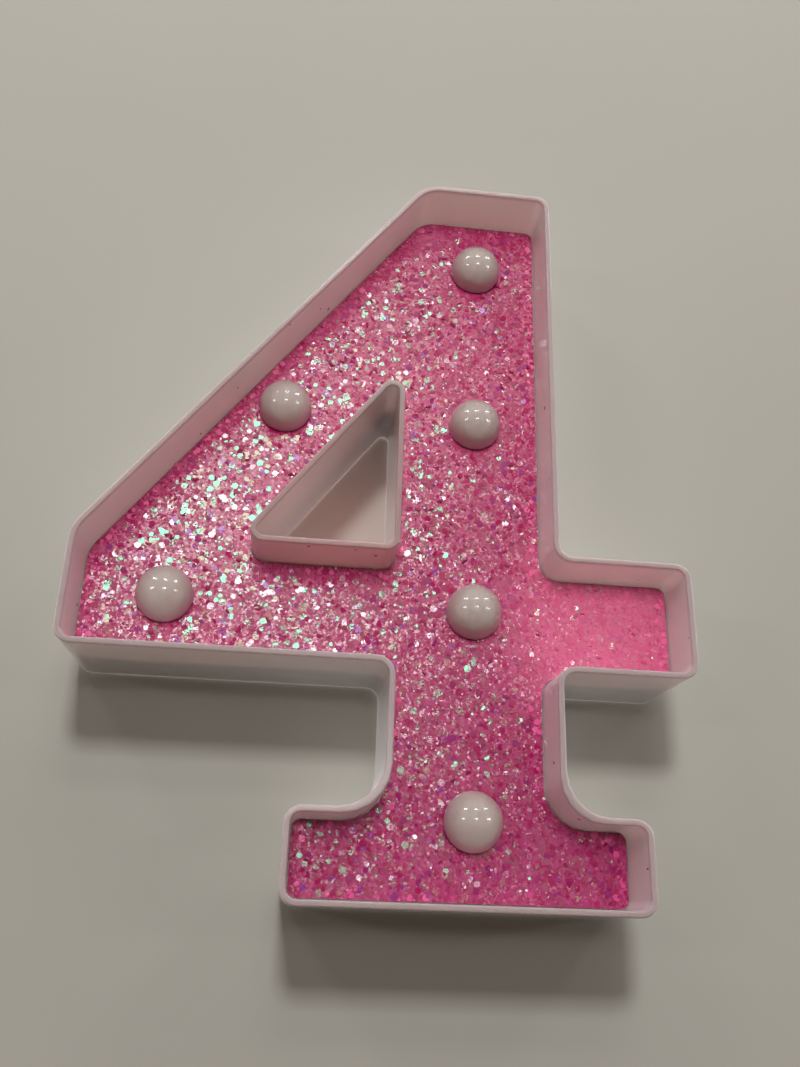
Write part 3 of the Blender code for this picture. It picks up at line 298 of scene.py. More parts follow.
def moulded_group(name):
    """Moulded plastic: faint clouds of dust, a fine grain and small scuffs.

    Rim tints the front rim and the counter's walls, Lift pales the lower half of a bulb.
    """
    inputs = {"Colour": GREY, "Dust": GREY, "Roughness": 0.3, "Scuffs": 0.14}
    inputs |= {"Grain Scale": 2600.0, "Painted Shade And Light": 0.0, "Lift": 0.0}
    tree, given = start_group(name, inputs)
    place = object_place(tree)
    clouds = spread(tree, noise(tree, place, 38.0, 4.0), (0.45, 0.75), (0.0, 0.45))
    specks = spread(tree, noise(tree, place, 1700.0), (0.70, 0.78), (0.0, 0.35))
    dusty = calculate(tree, "MAXIMUM", clouds, specks)
    colour = blend(tree, dusty, given["Colour"], given["Dust"])
    axes = node(tree, "SeparateXYZ", {0: place}).outputs
    flat = vector(tree, "MULTIPLY", place, (1.0, 0.0, 1.0))
    away = vector(tree, "DISTANCE", flat, COUNTER_PLACE)
    # Each row paints light or shade into the colour: shade on the front faces of the walls, pinkish
    # light on the counter's walls, paler lower halves of the bulbs.
    for value, source, strength, painted_colour in (
        (axes["Y"], RIM_PAINTED_SHADE_DEPTHS, "Painted Shade And Light", RIM_PAINTED_SHADE),
        (away, COUNTER_PAINTED_LIGHT_REACH, "Painted Shade And Light", COUNTER_PAINTED_LIGHT),
        (axes["Z"], BULB_PAINTED_LIGHT_HEIGHTS, "Lift", BULB_PAINTED_LIGHT),
    ):
        share = calculate(tree, "MULTIPLY", spread(tree, value, source, FALL), given[strength])
        colour = blend(tree, share, colour, rgba(painted_colour), "MULTIPLY")
    turn = {"Vector": place, "Scale": (9.0, 1.0, 1.0), "Rotation": (0.4, 0.7, 0.5)}
    stretched = node(tree, "Mapping", turn).outputs[0]
    marks = spread(tree, noise(tree, stretched, 220.0, 3.0), (0.60, 0.72))
    rough = calculate(tree, "MULTIPLY_ADD", marks, given["Scuffs"], given["Roughness"])
    grain = node(tree, "TexNoise", {"Vector": place, "Scale": given["Grain Scale"]})
    return end_group(tree, colour, rough, grain.outputs["Fac"])


def with_painted_light(tree, place, colour, painted_glow):
    """A colour that deepens towards the number's foot and takes on a glow in its short arm."""
    height = node(tree, "SeparateXYZ", {0: place}).outputs["Z"]
    low = spread(tree, height, FOOT_PAINTED_SHADE_HEIGHTS, FALL)
    foot_painted_shade = blend(tree, low, colour, rgba(FOOT_PAINTED_SHADE), "MULTIPLY")
    away = vector(tree, "DISTANCE", place, PAINTED_GLOW_PLACE)
    return blend(tree, spread(tree, away, PAINTED_GLOW_REACH, PAINTED_GLOW_SHARES), foot_painted_shade, painted_glow)


def flake_group(name):
    """One colour and gloss for each flake, drawn between three colours."""
    inputs = dict.fromkeys(("Pale", "Full", "Dark", "Haze", "Glow"), GREY)
    tree, given = start_group(name, inputs | {"Dullness": 1.0})
    draw = node(tree, "NewGeometry").outputs["Random Per Island"]
    second = calculate(tree, "FRACT", calculate(tree, "MULTIPLY", draw, SECOND_DRAW))
    place = object_place(tree)
    drift = spread(tree, noise(tree, place, 95.0, 3.0), (0.40, 0.60))
    near = node(tree, "Mix", {"Factor": 0.75, 2: draw, 3: drift}).outputs[0]
    light = blend(tree, near, given["Pale"], given["Full"])
    varied = blend(tree, spread(tree, second, (0.60, 0.92)), light, given["Dark"])
    patches = spread(tree, noise(tree, place, 42.0), (0.50, 0.72), (0.0, 0.55))
    # Painted shade towards the foot and painted light in the short arm.
    colour = with_painted_light(tree, place, blend(tree, patches, varied, given["Haze"]), given["Glow"])
    rough = spread(tree, second, RISE, (0.10, 0.34))
    dull = calculate(tree, "MULTIPLY", rough, given["Dullness"])
    return end_group(tree, colour, dull, noise(tree, place, 1000.0, 1.0))


def fleck_group(name):
    """A bed of fine flecks: each cell has its own colour, gloss and tilt."""
    inputs = dict.fromkeys(("Pale", "Full", "Dark", "Glow"), GREY)
    tree, given = start_group(name, inputs | {"Scale": 1500.0})
    place = object_place(tree)
    cells = node(tree, "TexVoronoi", {"Vector": place, "Scale": given["Scale"]}).outputs
    parts = node(tree, "SeparateColor", {"Color": cells["Color"]}).outputs
    light = blend(tree, spread(tree, parts[0], (0.1, 0.8)), given["Pale"], given["Full"])
    drift = spread(tree, noise(tree, place, 130.0, 3.0), (0.35, 0.65), (-0.25, 0.25))
    deep = spread(tree, calculate(tree, "ADD", parts[1], drift), (0.62, 0.95))
    # Painted shade towards the foot and painted light in the short arm.
    colour = with_painted_light(tree, place, blend(tree, deep, light, given["Dark"]), given["Glow"])
    rough = spread(tree, parts[2], RISE, (0.16, 0.45))
    local = vector(tree, "SUBTRACT", place, cells["Position"])
    lean = vector(tree, "SUBTRACT", cells["Color"], (0.5, 0.5, 0.5))
    return end_group(tree, colour, rough, vector(tree, "DOT_PRODUCT", local, lean))


def metal_group(name):
    """Plated metal: fine drawn lines and dull patches."""
    tree, given = start_group(name, {"Colour": GREY, "Roughness": 0.25})
    place = object_place(tree)
    drawn = node(tree, "Mapping", {"Vector": place, "Scale": (1.0, 14.0, 14.0)}).outputs[0]
    patches = noise(tree, place, 260.0, 3.0)
    colour = blend(tree, 0.35, given["Colour"], patches, "MULTIPLY")
    dull = spread(tree, patches, (0.35, 0.7), (0.0, 0.22))
    rough = calculate(tree, "ADD", dull, given["Roughness"])
    return end_group(tree, colour, rough, noise(tree, drawn, 420.0, 3.0))


GROUPS = {
    "moulded surface": moulded_group,
    "flake tint": flake_group,
    "fleck bed": fleck_group,
    "plated metal": metal_group,
}


# Materials


def add_material(name, kind, inputs, bump, **shader_values):
    """A material whose colour, roughness and relief come from one of the groups.

    The bump is the relief's depth in metres. The shader values are the same all over.
    """
    made = bpy.data.materials.new(name)
    made.use_nodes = True
    tree = made.node_tree
    shader = tree.nodes["Principled BSDF"].inputs
    for label, value in shader_values.items():
        shader[label.replace("_", " ")].default_value = value
    surface_group = bpy.data.node_groups.get(kind) or GROUPS[kind](kind)
    surface = node(tree, "Group", inputs, node_tree=surface_group).outputs
    relief = node(tree, "Bump", {"Strength": 1.0, "Distance": bump, "Height": surface["Height"]})
    tree.links.new(surface["Colour"], shader["Base Color"])
    tree.links.new(surface["Roughness"], shader["Roughness"])
    tree.links.new(relief.outputs["Normal"], shader["Normal"])
    made.diffuse_color = next(iter(inputs.values()))
    return made


def moulded_material(
    name, colour, dust, roughness=0.28, grain=2600.0, bump=0.02 * MM,
    scuffs=0.14, painted_shade_and_light=0.0, painted_light_below=0.0, **shader_values,
):
    inputs = {"Colour": rgba(colour), "Dust": rgba(dust), "Roughness": roughness}
    inputs |= {"Scuffs": scuffs, "Grain Scale": grain, "Painted Shade And Light": painted_shade_and_light, "Lift": painted_light_below}
    return add_material(name, "moulded surface", inputs, bump, **shader_values)


def dress(cad_node, surface):
    """Gives a solid that stays in view its material."""
    frame["nodes"][cad_node].data.materials[0] = surface


# Meshes


def add_object(name, data):
    made = bpy.data.objects.new(name, data)
    bpy.context.scene.collection.objects.link(made)
    return made


def add_piece(
    name, data, surface, replaces=None, place=(0, 0, 0), turn=(0, 0, 0), body="number"
):
    """One piece of the number: it rides on a body and takes its finish from a slot."""
    if not data.materials:
        data.materials.append(surface)
    piece = add_object(name, data)
    piece.location = place
    piece.rotation_euler = turn
    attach(piece, body)
    if replaces:
        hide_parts(replaces)
    return piece


def new_mesh(name, mesh):
    """Turns the faces outwards and makes a smooth mesh with sharp corners."""
    bmesh.ops.recalc_face_normals(mesh, faces=mesh.faces)
    data = bpy.data.meshes.new(name)
    mesh.to_mesh(data)
    mesh.free()
    data.shade_smooth()
    data.set_sharp_from_angle(angle=SHARP_ANGLE)
    return data


def round_edges(piece, width, segments=1):
    rounding = piece.modifiers.new("edge round", "BEVEL")
    rounding.width = width
    rounding.segments = segments
    rounding.limit_method = "ANGLE"
    rounding.angle_limit = SHARP_ANGLE


def softened(cad_node, name, surface, edge_round, body="number"):
    """A solid's own shape with its edges rounded, which stands for it."""
    mesh = bmesh.new()
    mesh.from_mesh(frame["nodes"][cad_node].data)
    bmesh.ops.remove_doubles(mesh, verts=mesh.verts, dist=MERGE_DISTANCE)
    flat = [edge for edge in mesh.edges if edge.calc_face_angle(math.pi) < FLAT_ANGLE]
    bmesh.ops.dissolve_edges(mesh, edges=flat, use_verts=False)
    data = new_mesh(f"{name}_mesh", mesh)
    piece = add_piece(name, data, surface, cad_node, body=body)
    round_edges(piece, edge_round, 2)
    piece.modifiers.new("flat faces", "WEIGHTED_NORMAL").keep_sharp = True


def turned(name, profile, steps):
    """A profile of (radius, depth) pairs turned about the Y axis."""
    mesh = bmesh.new()
    corners = [mesh.verts.new((radius, depth, 0.0)) for radius, depth in profile]
    edges = [mesh.edges.new(pair) for pair in zip(corners, corners[1:])]
    turn = {"cent": (0.0, 0.0, 0.0), "axis": INWARD, "angle": math.tau, "use_merge": True}
    bmesh.ops.spin(mesh, geom=corners + edges, steps=steps, **turn)
    bmesh.ops.remove_doubles(mesh, verts=mesh.verts, dist=MERGE_DISTANCE)
    return new_mesh(name, mesh)


def arc(radius, centre, start, end, steps):
    """Points of a turned arc's profile between two angles from its tip."""
    angles = [start + (end - start) * step / steps for step in range(steps + 1)]
    return [(radius * math.sin(angle), centre - radius * math.cos(angle)) for angle in angles]


def middle(cad_node):
    low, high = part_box(cad_node)
    return (low + high) / 2


def block(mesh, low, high, edge_round):
    """Adds a box with rounded edges to a mesh."""
    low, high = Vector(low), Vector(high)
    size = high - low
    place = Matrix.Translation((low + high) / 2) @ Matrix.Diagonal((*size, 1.0))
    corners = bmesh.ops.create_cube(mesh, size=1.0, matrix=place)["verts"]
    edges = list({edge for corner in corners for edge in corner.link_edges})
    bmesh.ops.bevel(mesh, geom=edges, offset=edge_round, segments=2, affect="EDGES", profile=0.5)


def loft(mesh, rings):
    """Joins rings of corners in a mesh and closes both ends."""
    for first, second in zip(rings, rings[1:]):
        for index, corner in enumerate(first):
            after = (index + 1) % len(first)
            mesh.faces.new((corner, first[after], second[after], second[index]))
    mesh.faces.new(rings[0])
    mesh.faces.new(rings[-1])


# Screws

SCREW_STEPS = 36
HEAD_HEIGHT = 0.9 * MM
HEAD_SHAPE = ((0.0, 1.0), (0.55, 0.985), (0.8, 0.9), (0.94, 0.7), (1.0, 0.4), (0.97, 0.0))
CORE_SHARE = 0.78
PITCH = 0.8 * MM
THREAD_START = -0.5 * MM
THREAD_SHAPE = ((CORE_SHARE, 0.3), (CORE_SHARE, 0.6), (1.0, 1.0))
POINT_LENGTH = 1.4 * MM
POINT_SHARE = 0.2
CROSS_REACH = 1.15
CROSS_WIDTH = 0.62 * MM
# Each ring of the cross: the shares of its length and its width, and its height.
CROSS_RINGS = (
    (1.0, 1.0, HEAD_HEIGHT + 0.2 * MM),
    (1.0, 1.0, HEAD_HEIGHT * 0.9),
    (0.45, 0.78, HEAD_HEIGHT * 0.9 - 0.75 * MM),
)
# A screw's radius, its length and its head's radius.
FRAME_SCREW = (0.9 * MM, 5.0 * MM, 1.8 * MM)
COVER_SCREW = (1.2 * MM, 8.0 * MM, 2.3 * MM)


def cross_outline(length, width):
    """The corners of a cross."""
    corners = []
    for turn in range(4):
        spin = Matrix.Rotation(QUARTER * turn, 2)
        for x, y in ((length, -width), (length, width), (width, width)):
            corners.append(spin @ Vector((x, y)) / 2)
    return corners


def cut(data, cutter, name):
    """A mesh with another one cut out of it."""
    body, tool = add_object(name, data), add_object(f"{name}_cutter", cutter)
    step = body.modifiers.new("cut", "BOOLEAN")
    step.operation = "DIFFERENCE"
    step.object = tool
    depsgraph = bpy.context.evaluated_depsgraph_get()
    result = bpy.data.meshes.new_from_object(body.evaluated_get(depsgraph))
    for made in (body, tool):
        bpy.data.objects.remove(made)
    bpy.data.meshes.remove(cutter)
    result.name = name
    result.shade_smooth()
    result.set_sharp_from_angle(angle=SHARP_ANGLE)
    return result


def screw_mesh(name, radius, length, head):
    """A pan head screw with a thread and a cross recess: its head's underside is at zero depth."""
    profile = [(head * across, HEAD_HEIGHT * up) for across, up in HEAD_SHAPE]
    profile += [(radius, 0.0), (radius, THREAD_START)]
    depth = THREAD_START
    while depth > -length + POINT_LENGTH + PITCH:
        profile += [(radius * across, depth - PITCH * down) for across, down in THREAD_SHAPE]
        depth -= PITCH
    profile += [(radius * CORE_SHARE, -length + POINT_LENGTH)]
    profile += [(radius * POINT_SHARE, -length), (0.0, -length)]
    mesh = bmesh.new()
    rings = []
    for reach, width, depth in CROSS_RINGS:
        outline = cross_outline(head * CROSS_REACH * reach, CROSS_WIDTH * width)
        rings.append([mesh.verts.new((point.x, depth, point.y)) for point in outline])
    loft(mesh, rings)
    return cut(turned(name, profile, SCREW_STEPS), new_mesh(f"{name}_cross", mesh), name)


def add_screw(name, data, cad_node, turn):
    """A screw in place of its solid, with its head where the solid's is."""
    centre = middle(cad_node)
    place = (centre.x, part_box(cad_node)[1].y - HEAD_HEIGHT, centre.z)
    steel = bpy.data.materials["plated steel"]
    add_piece(name, data, steel, cad_node, place, (0.0, turn, 0.0))


# Flakes

Film = namedtuple("Film", "pale full dark shine ior dullness share edge_share")
FILMS = {
    "rose": Film("rose", "rose", "magenta", (0.55, 1.0, 0.62), 1.6, 0.7, 18, 20),
    "magenta": Film("magenta", "magenta", "plum", (0.70, 0.75, 0.70), 1.35, 1.2, 27, 10),
    "violet": Film("violet", "magenta", "plum", (0.55, 0.55, 1.0), 1.5, 0.7, 7, 2),
    "opal": Film("rose", "opal", "magenta", (0.13, 1.0, 0.60), 1.9, 0.6, 28, 8),
    "frost": Film("haze", "rose", "magenta", (0.80, 1.0, 1.0), 1.8, 0.6, 20, 6),
    # The edge flakes are painted brighter: painted light beside the walls.
    "edge": Film("edge", "edge", "rose", (0.80, 0.90, 0.80), 1.35, 1.0, 0, 54),
}
BED_CELLS = 1500.0
BED_RELIEF = 0.3
BED_SHINE = (0.82, 1.0, 0.92)
KINDS = list(FILMS)
SHARES = [film.share for film in FILMS.values()]
EDGE_SHARES = [film.edge_share for film in FILMS.values()]
# The band beside the walls where the painted brighter edge flakes are mostly drawn.
EDGE_BAND = 3.2 * MM
EDGE_SPREAD = (0.5, 1.2)
CRUMPLE = 0.07 * MM
CORNER_COUNTS = (6, 6, 6, 6, 5, 4)
CORNER_REACHES = (0.82, 1.12)
FLAKE_SIZES = (0.7, 1.35)
FLAKE_RISES = (0.02, 0.16)
FOOTPRINT = 0.8
LOOSE_TILTS = (1.0, 4.5, 9.0)
LOOSE_SHARES = (68, 20, 12)
LEVEL = Quaternion()
STRAY_DEPTHS = (-16.0, -3.0)
STRAY_SIZES = (0.25, 0.7)
STRAY_TILT = 0.02
STRAY_RUN = 40.0 * MM
WALL_SLOPE = 0.3


def flake(corners, radius, thickness, place, turn, reaches):
    """A flake's points and faces: an uneven plate with four to six corners."""
    basis = turn.to_matrix()
    points = []
    for side in (-0.5, 0.5):
        for index in range(corners):
            angle = math.tau * index / corners
            reach = radius * reaches[index]
            flat = Vector((math.cos(angle) * reach, side * thickness, math.sin(angle) * reach))
            points.append(place + basis @ flat)
    faces = [tuple(range(corners)), tuple(range(corners * 2 - 1, corners - 1, -1))]
    for index in range(corners):
        after = (index + 1) % corners
        faces.append((after, index, index + corners, after + corners))
    return points, faces


class Flakes:
    """Gathers many flakes into one mesh."""

    def __init__(self):
        self.points = []
        self.faces = []

    def add(self, points, faces):
        start = len(self.points)
        self.points += points
        self.faces += [tuple(start + index for index in face) for face in faces]

    def mesh(self, name):
        data = bpy.data.meshes.new(name)
        data.from_pydata(self.points, [], self.faces)
        data.update()
        return data


def search_tree(cad_node):
    """A search tree of a solid's faces."""
    data = frame["nodes"][cad_node].data
    points = [corner.co for corner in data.vertices]
    return BVHTree.FromPolygons(points, [list(face.vertices) for face in data.polygons])


def lies_on(tree, across, height, margin):
    """Whether a round spot of that margin lies wholly on the face."""
    for step in range(6):
        angle = math.tau * step / 6
        x, z = across + margin * math.cos(angle), height + margin * math.sin(angle)
        if tree.ray_cast(Vector((x, -1.0, z)), INWARD)[0] is None:
            return False
    return True


def draw_flake(draws, radius, thickness, place, tilt, facing):
    """A random flake near a place, tilted a little from the surface it faces."""
    corners = draws.choice(CORNER_COUNTS)
    reaches = [draws.uniform(*CORNER_REACHES) for _ in range(corners)]
    tilt *= draws.choices(LOOSE_TILTS, LOOSE_SHARES)[0]
    angles = (draws.gauss(0, tilt), draws.uniform(0, math.tau), draws.gauss(0, tilt))
    turn = facing @ Euler(angles, "YXZ").to_quaternion()
    return flake(corners, radius, thickness, place, turn, reaches)


class MARQUEE_OT_glitter(bpy.types.Operator):
    """Lay the glitter bed and its loose flakes in the recess"""

    bl_idname = "marquee.glitter"
    bl_label = "Glitter"

    def execute(self, context):
        settings = context.scene.marquee_glitter
        self.make_materials(settings)
        dress("glitter_sheet", bpy.data.materials["glitter bed"])
        draws = random.Random(settings.seed)
        heaps = {kind: Flakes() for kind in KINDS}
        self.add_flakes(settings, draws, heaps)
        self.add_strays(settings, draws, heaps)
        for kind, heap in heaps.items():
            name = f"flakes_{kind}"
            surface = bpy.data.materials[f"flake {kind}"]
            add_piece(name, heap.mesh(name), surface)
        return {"FINISHED"}

    def add_flakes(self, settings, draws, heaps):
        """Flakes all over the bed; beside the walls they are mostly of another kind."""
        tree = search_tree("glitter_sheet")
        low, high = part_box("glitter_sheet")
        sizes = ((settings.fine_count, settings.fine), (settings.chunky_count, settings.chunky))
        for left, width in sizes:
            while left:
                across = draws.uniform(low.x, high.x)
                height = draws.uniform(low.z, high.z)
                radius = width / 2 * draws.uniform(*FLAKE_SIZES)
                if not lies_on(tree, across, height, radius * FOOTPRINT):
                    continue
                left -= 1
                place = Vector((across, low.y - draws.uniform(*FLAKE_RISES) * MM, height))
                shape = draw_flake(draws, radius, settings.thickness, place, settings.tilt, LEVEL)
                inside = lies_on(tree, across, height, EDGE_BAND * draws.uniform(*EDGE_SPREAD))
                shares = SHARES if inside else EDGE_SHARES
                heaps[draws.choices(KINDS, shares)[0]].add(*shape)

    def add_strays(self, settings, draws, heaps):
        """Flakes that cling to the walls of the recess."""
        tree = search_tree("front_housing")
        low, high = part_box("glitter_sheet")
        left = settings.stray_count
        while left:
            across = draws.uniform(low.x, high.x)
            depth = draws.uniform(*STRAY_DEPTHS) * MM
            start = Vector((across, depth, draws.uniform(low.z, high.z)))
            turn = draws.uniform(0, math.tau)
            ahead = Vector((math.cos(turn), 0.0, math.sin(turn)))
            hit, normal, _, run = tree.ray_cast(start, ahead)
            if hit is None or run > STRAY_RUN or abs(normal.y) > WALL_SLOPE:
                continue
            if tree.ray_cast(start, INWARD)[0] is None:
                continue
            left -= 1
            if normal.dot(ahead) > 0:
                normal = -normal
            facing = (-INWARD).rotation_difference(normal)
            radius = draws.uniform(*STRAY_SIZES) * MM
            place = hit + normal * settings.thickness
            shape = draw_flake(draws, radius, settings.thickness, place, STRAY_TILT, facing)
            heaps[draws.choices(KINDS, SHARES)[0]].add(*shape)

    def make_materials(self, settings):
        def tints(**names):
            return {label: rgba(getattr(settings, name)) for label, name in names.items()}

        # The edge colour is also the painted light in the short arm.
        bed = tints(Pale="haze", Full="rose", Dark="magenta", Glow="edge") | {"Scale": BED_CELLS}
        shine = rgba(BED_SHINE)
        add_material("glitter bed", "fleck bed", bed, BED_RELIEF, Specular_Tint=shine)
        for kind, film in FILMS.items():
            inputs = tints(Pale=film.pale, Full=film.full, Dark=film.dark, Haze="haze", Glow="edge")
            inputs["Dullness"] = film.dullness
            shine = {"IOR": film.ior, "Specular_Tint": rgba(film.shine)}
            add_material(f"flake {kind}", "flake tint", inputs, CRUMPLE, **shine)


# Housing and bulbs

GLOBE_GROWTH = 1.006
GLOBE_STEPS = 26
FOOT_GAP = 0.3 * MM
FOOT_ANGLE = 0.03
FOOT_ROUND = 0.25 * MM
BORE_STEPS = 12
NECK_RADIUS = 4.2 * MM
BORE_RADIUS = 2.8 * MM
DIODE_ROOM = 0.3 * MM


class MARQUEE_OT_housing(bpy.types.Operator):
    """Dress the moulded front housing"""

    bl_idname = "marquee.housing"
    bl_label = "Housing"

    def execute(self, context):
        settings = context.scene.marquee_housing
        # The housing takes the painted shade on the front faces of its walls and the painted
        # pinkish light on the counter's walls.
        white = moulded_material(
            "white plastic", settings.plastic, settings.dust, painted_shade_and_light=1.0,
            Coat_Weight=0.2, Coat_Roughness=0.12,
            Subsurface_Weight=0.85, Subsurface_Radius=(1.0, 0.85, 0.80), Subsurface_Scale=0.0052,
        )
        softened("front_housing", "housing", white, settings.edge_round)
        return {"FINISHED"}


class MARQUEE_OT_bulbs(bpy.types.Operator):
    """Turn the six milky bulbs and dress the diodes in them"""

    bl_idname = "marquee.bulbs"
    bl_label = "Bulbs"

    def execute(self, context):
        settings = context.scene.marquee_bulbs
        # The milky plastic is painted paler on the lower half of each bulb: painted light for the
        # light from the glitter below.
        milky = moulded_material(
            "milky plastic", settings.milk, [channel * 0.9 for channel in settings.milk],
            roughness=0.3, grain=1800.0, bump=FINE_GRAIN, scuffs=0.0, painted_light_below=1.0,
            Coat_Weight=1.0, Coat_Roughness=0.03, Coat_IOR=1.75,
            Subsurface_Weight=1.0, Subsurface_Radius=(1.0, 0.8, 0.7), Subsurface_Scale=0.013,
        )
        resin = moulded_material(
            "clear resin", settings.resin, settings.resin,
            roughness=0.06, grain=900.0, bump=FINE_GRAIN, Transmission_Weight=0.85,
        )
        globe = self.globe(settings)
        for number in range(1, 7):
            cap = f"bulb_cap_{number}"
            place = (middle(cap).x, 0.0, middle(cap).z)
            add_piece(f"bulb_{number}", globe, milky, cap, place)
            dress(f"led_{number}", resin)
        return {"FINISHED"}

    def globe(self, settings):
        """A milky globe with a flat foot, and a neck through the face with the diode's bore."""
        low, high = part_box("bulb_cap_6")
        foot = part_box("glitter_sheet")[0].y - FOOT_GAP
        radius = (high.x - low.x) / 2 * GLOBE_GROWTH
        centre = low.y + radius
        outer_end = math.acos((centre - foot) / radius)
        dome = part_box("led_6")[0].y - DIODE_ROOM + BORE_RADIUS
        profile = [
            *arc(radius, centre, 0.0, outer_end - FOOT_ANGLE, GLOBE_STEPS),
            (radius * math.sin(outer_end) - FOOT_ROUND, foot),
            (NECK_RADIUS, foot),
            (NECK_RADIUS, high.y),
            (BORE_RADIUS, high.y),
            *arc(BORE_RADIUS, dome, QUARTER, 0.0, BORE_STEPS),
        ]
        return turned("globe", profile, settings.steps)


# Workings

CELL_STEPS = 48
NUB_HEIGHT = 1.3 * MM
NUB_RADIUS = 2.75 * MM
# The sleeve's rolled end, from inside to outside: mm in from its side and along from its end.
ROLLED_END = ((0.15, 0.9), (1.0, 0.2), (2.1, 0.12), (0.9, 0.0), (0.35, 0.12), (0.08, 0.35))
ROLLED_LENGTH = 0.7 * MM
SLEEVE_STOPS = (0.0, 0.10, 0.125, 0.76, 0.78, 0.81, 1.0)
CAN_GAP = 0.2 * MM
SPRING_WIRE = 0.3 * MM
SPRING_BASE = 3.8 * MM
SPRING_TIP = 2.0 * MM
SPRING_TURNS = 5
FLAT_TURNS = 0.8
SPRING_STEPS = 30


class MARQUEE_OT_workings(bpy.types.Operator):
    """Dress the wires, the cells, the contacts and the springs behind the face"""

    bl_idname = "marquee.workings"
    bl_label = "Workings"

    def execute(self, context):
        settings = context.scene.marquee_workings
        plate = {"Colour": rgba(settings.steel), "Roughness": 0.22}
        steel = add_material("plated steel", "plated metal", plate, FINE_GRAIN, Metallic=1.0)
        red = moulded_material("red insulation", settings.red, settings.red, 0.42, 1500.0)
        black = moulded_material("black insulation", settings.black, settings.black, 0.42, 1500.0)
        for cad_node in ("anode_bus", "positive_lead"):
            dress(cad_node, red)
        for cad_node in ("cathode_bus", "negative_lead", "switch_lead"):
            dress(cad_node, black)
        for name in ("positive_contact", "negative_contact", "bridge_contact"):
            softened(name, f"{name}_strip", steel, THIN_ROUND)
        self.add_cells(settings, steel)
        for cad_node, side in (("bridge_spring", 1), ("negative_spring", -1)):
            self.add_spring(cad_node, side, steel)
        return {"FINISHED"}

    def add_cells(self, settings, steel):
        """Both cells, one turned against the other: a banded sleeve over a steel can."""
        jacket = moulded_material("cell jacket", settings.jacket, settings.band, 0.3, 900.0)
        band = moulded_material("cell band", settings.band, settings.jacket, 0.3, 900.0)
        low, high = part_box("battery_cell_1")
        radius, length = (high.z - low.z) / 2, high.x - low.x
        sleeve = self.sleeve(radius, length)
        sleeve.materials.append(jacket)
        sleeve.materials.append(band)
        can = turned("can", self.can_profile(radius - CAN_GAP, length), CELL_STEPS)
        for number, start, turn in ((1, 0, -QUARTER), (2, 1, QUARTER)):
            cad_node = f"battery_cell_{number}"
            centre = middle(cad_node)
            place = (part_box(cad_node)[start].x, centre.y, centre.z)
            spin = (0.0, 0.0, turn)
            name = f"cell_{number}"
            add_piece(name, sleeve, jacket, cad_node, place, spin)
            add_piece(f"{name}_can", can, steel, None, place, spin)

    def sleeve(self, radius, length):
        """The printed sleeve, rolled over both ends, with its bands."""
        shoulder = length - NUB_HEIGHT
        run = shoulder - 2 * ROLLED_LENGTH
        stops = [ROLLED_LENGTH + run * share for share in SLEEVE_STOPS]
        flat_end = [(radius - inward * MM, along * MM) for inward, along in ROLLED_END]
        nub_end = [(across, shoulder - along) for across, along in reversed(flat_end)]
        side = [(radius, stop) for stop in stops]
        sleeve = turned("sleeve", [*flat_end, *side, *nub_end, flat_end[0]], CELL_STEPS)
        bands = ((stops[1], stops[2]), (stops[3], stops[4]), (stops[5], length))
        for face in sleeve.polygons:
            along = face.center.y
            face.material_index = int(any(start < along < end for start, end in bands))
        return sleeve

    def can_profile(self, radius, length):
        """The steel can: a dished flat end, a crimped shoulder and the nub."""
        shoulder = length - NUB_HEIGHT
        return [
            (0.0, 0.35 * MM),
            (2.9 * MM, 0.35 * MM),
            (3.4 * MM, 0.15 * MM),
            (radius - 1.0 * MM, 0.25 * MM),
            (radius, 1.0 * MM),
            (radius, shoulder - 1.0 * MM),
            (radius - 1.0 * MM, shoulder - 0.25 * MM),
            (NUB_RADIUS + 0.7 * MM, shoulder - 0.3 * MM),
            (NUB_RADIUS + 0.15 * MM, shoulder - 0.1 * MM),
            (NUB_RADIUS, shoulder + 0.1 * MM),
            (NUB_RADIUS, length - 0.3 * MM),
            (NUB_RADIUS - 0.1 * MM, length - 0.1 * MM),
            (NUB_RADIUS - 0.35 * MM, length),
            (0.0, length),
        ]

    def add_spring(self, cad_node, side, steel):
        """A conical spring with a flat turn at each end, on a side of its contact."""
        low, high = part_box(cad_node)
        centre = middle(cad_node)
        start = low.x if side > 0 else high.x
        run = high.x - low.x - SPRING_WIRE * 2
        coil = bpy.data.curves.new(f"{cad_node}_coil", "CURVE")
        coil.dimensions = "3D"
        coil.bevel_depth = SPRING_WIRE
        coil.bevel_resolution = 3
        coil.use_fill_caps = True
        path = coil.splines.new("POLY")
        path.points.add(SPRING_TURNS * SPRING_STEPS)
        for step, corner in enumerate(path.points):
            turns = step / SPRING_STEPS
            share = (turns - FLAT_TURNS) / (SPRING_TURNS - 2 * FLAT_TURNS)
            across = start + side * (SPRING_WIRE + run * min(max(share, 0.0), 1.0))
            radius = SPRING_BASE + (SPRING_TIP - SPRING_BASE) * turns / SPRING_TURNS
            y = centre.y + radius * math.cos(math.tau * turns)
            z = centre.z + radius * math.sin(math.tau * turns)
            corner.co = (across, y, z, 1.0)
        add_piece(f"{cad_node}_coil", coil, steel, cad_node)


# Switch and back

KNOB_FOOT = 1.0 * MM
KNOB_HALF = 1.5 * MM
KNOB_SHOULDER = 0.2 * MM
RIDGE_PITCH = 1.0 * MM
RIDGE = ((-0.31 * MM, 0.02 * MM), (-0.2 * MM, 0.0), (0.2 * MM, 0.0), (0.31 * MM, 0.02 * MM))
GROOVE = ((0.4 * MM, 0.4 * MM), (0.6 * MM, 0.4 * MM))
MARK_REACH = 8.6 * MM
MARK_HEIGHT = 0.3 * MM
BAR_HALF = (0.42 * MM, MARK_HEIGHT, 1.4 * MM)
GRIP_DEPTH = 0.6 * MM
GRIP_START = 3.3 * MM
GRIP_PITCH = 0.9 * MM
GRIP_HALF = 4.6 * MM
RIB_HALF = 0.22 * MM
RIB_SINK = 0.1 * MM
RIB_HEIGHT = 0.38 * MM


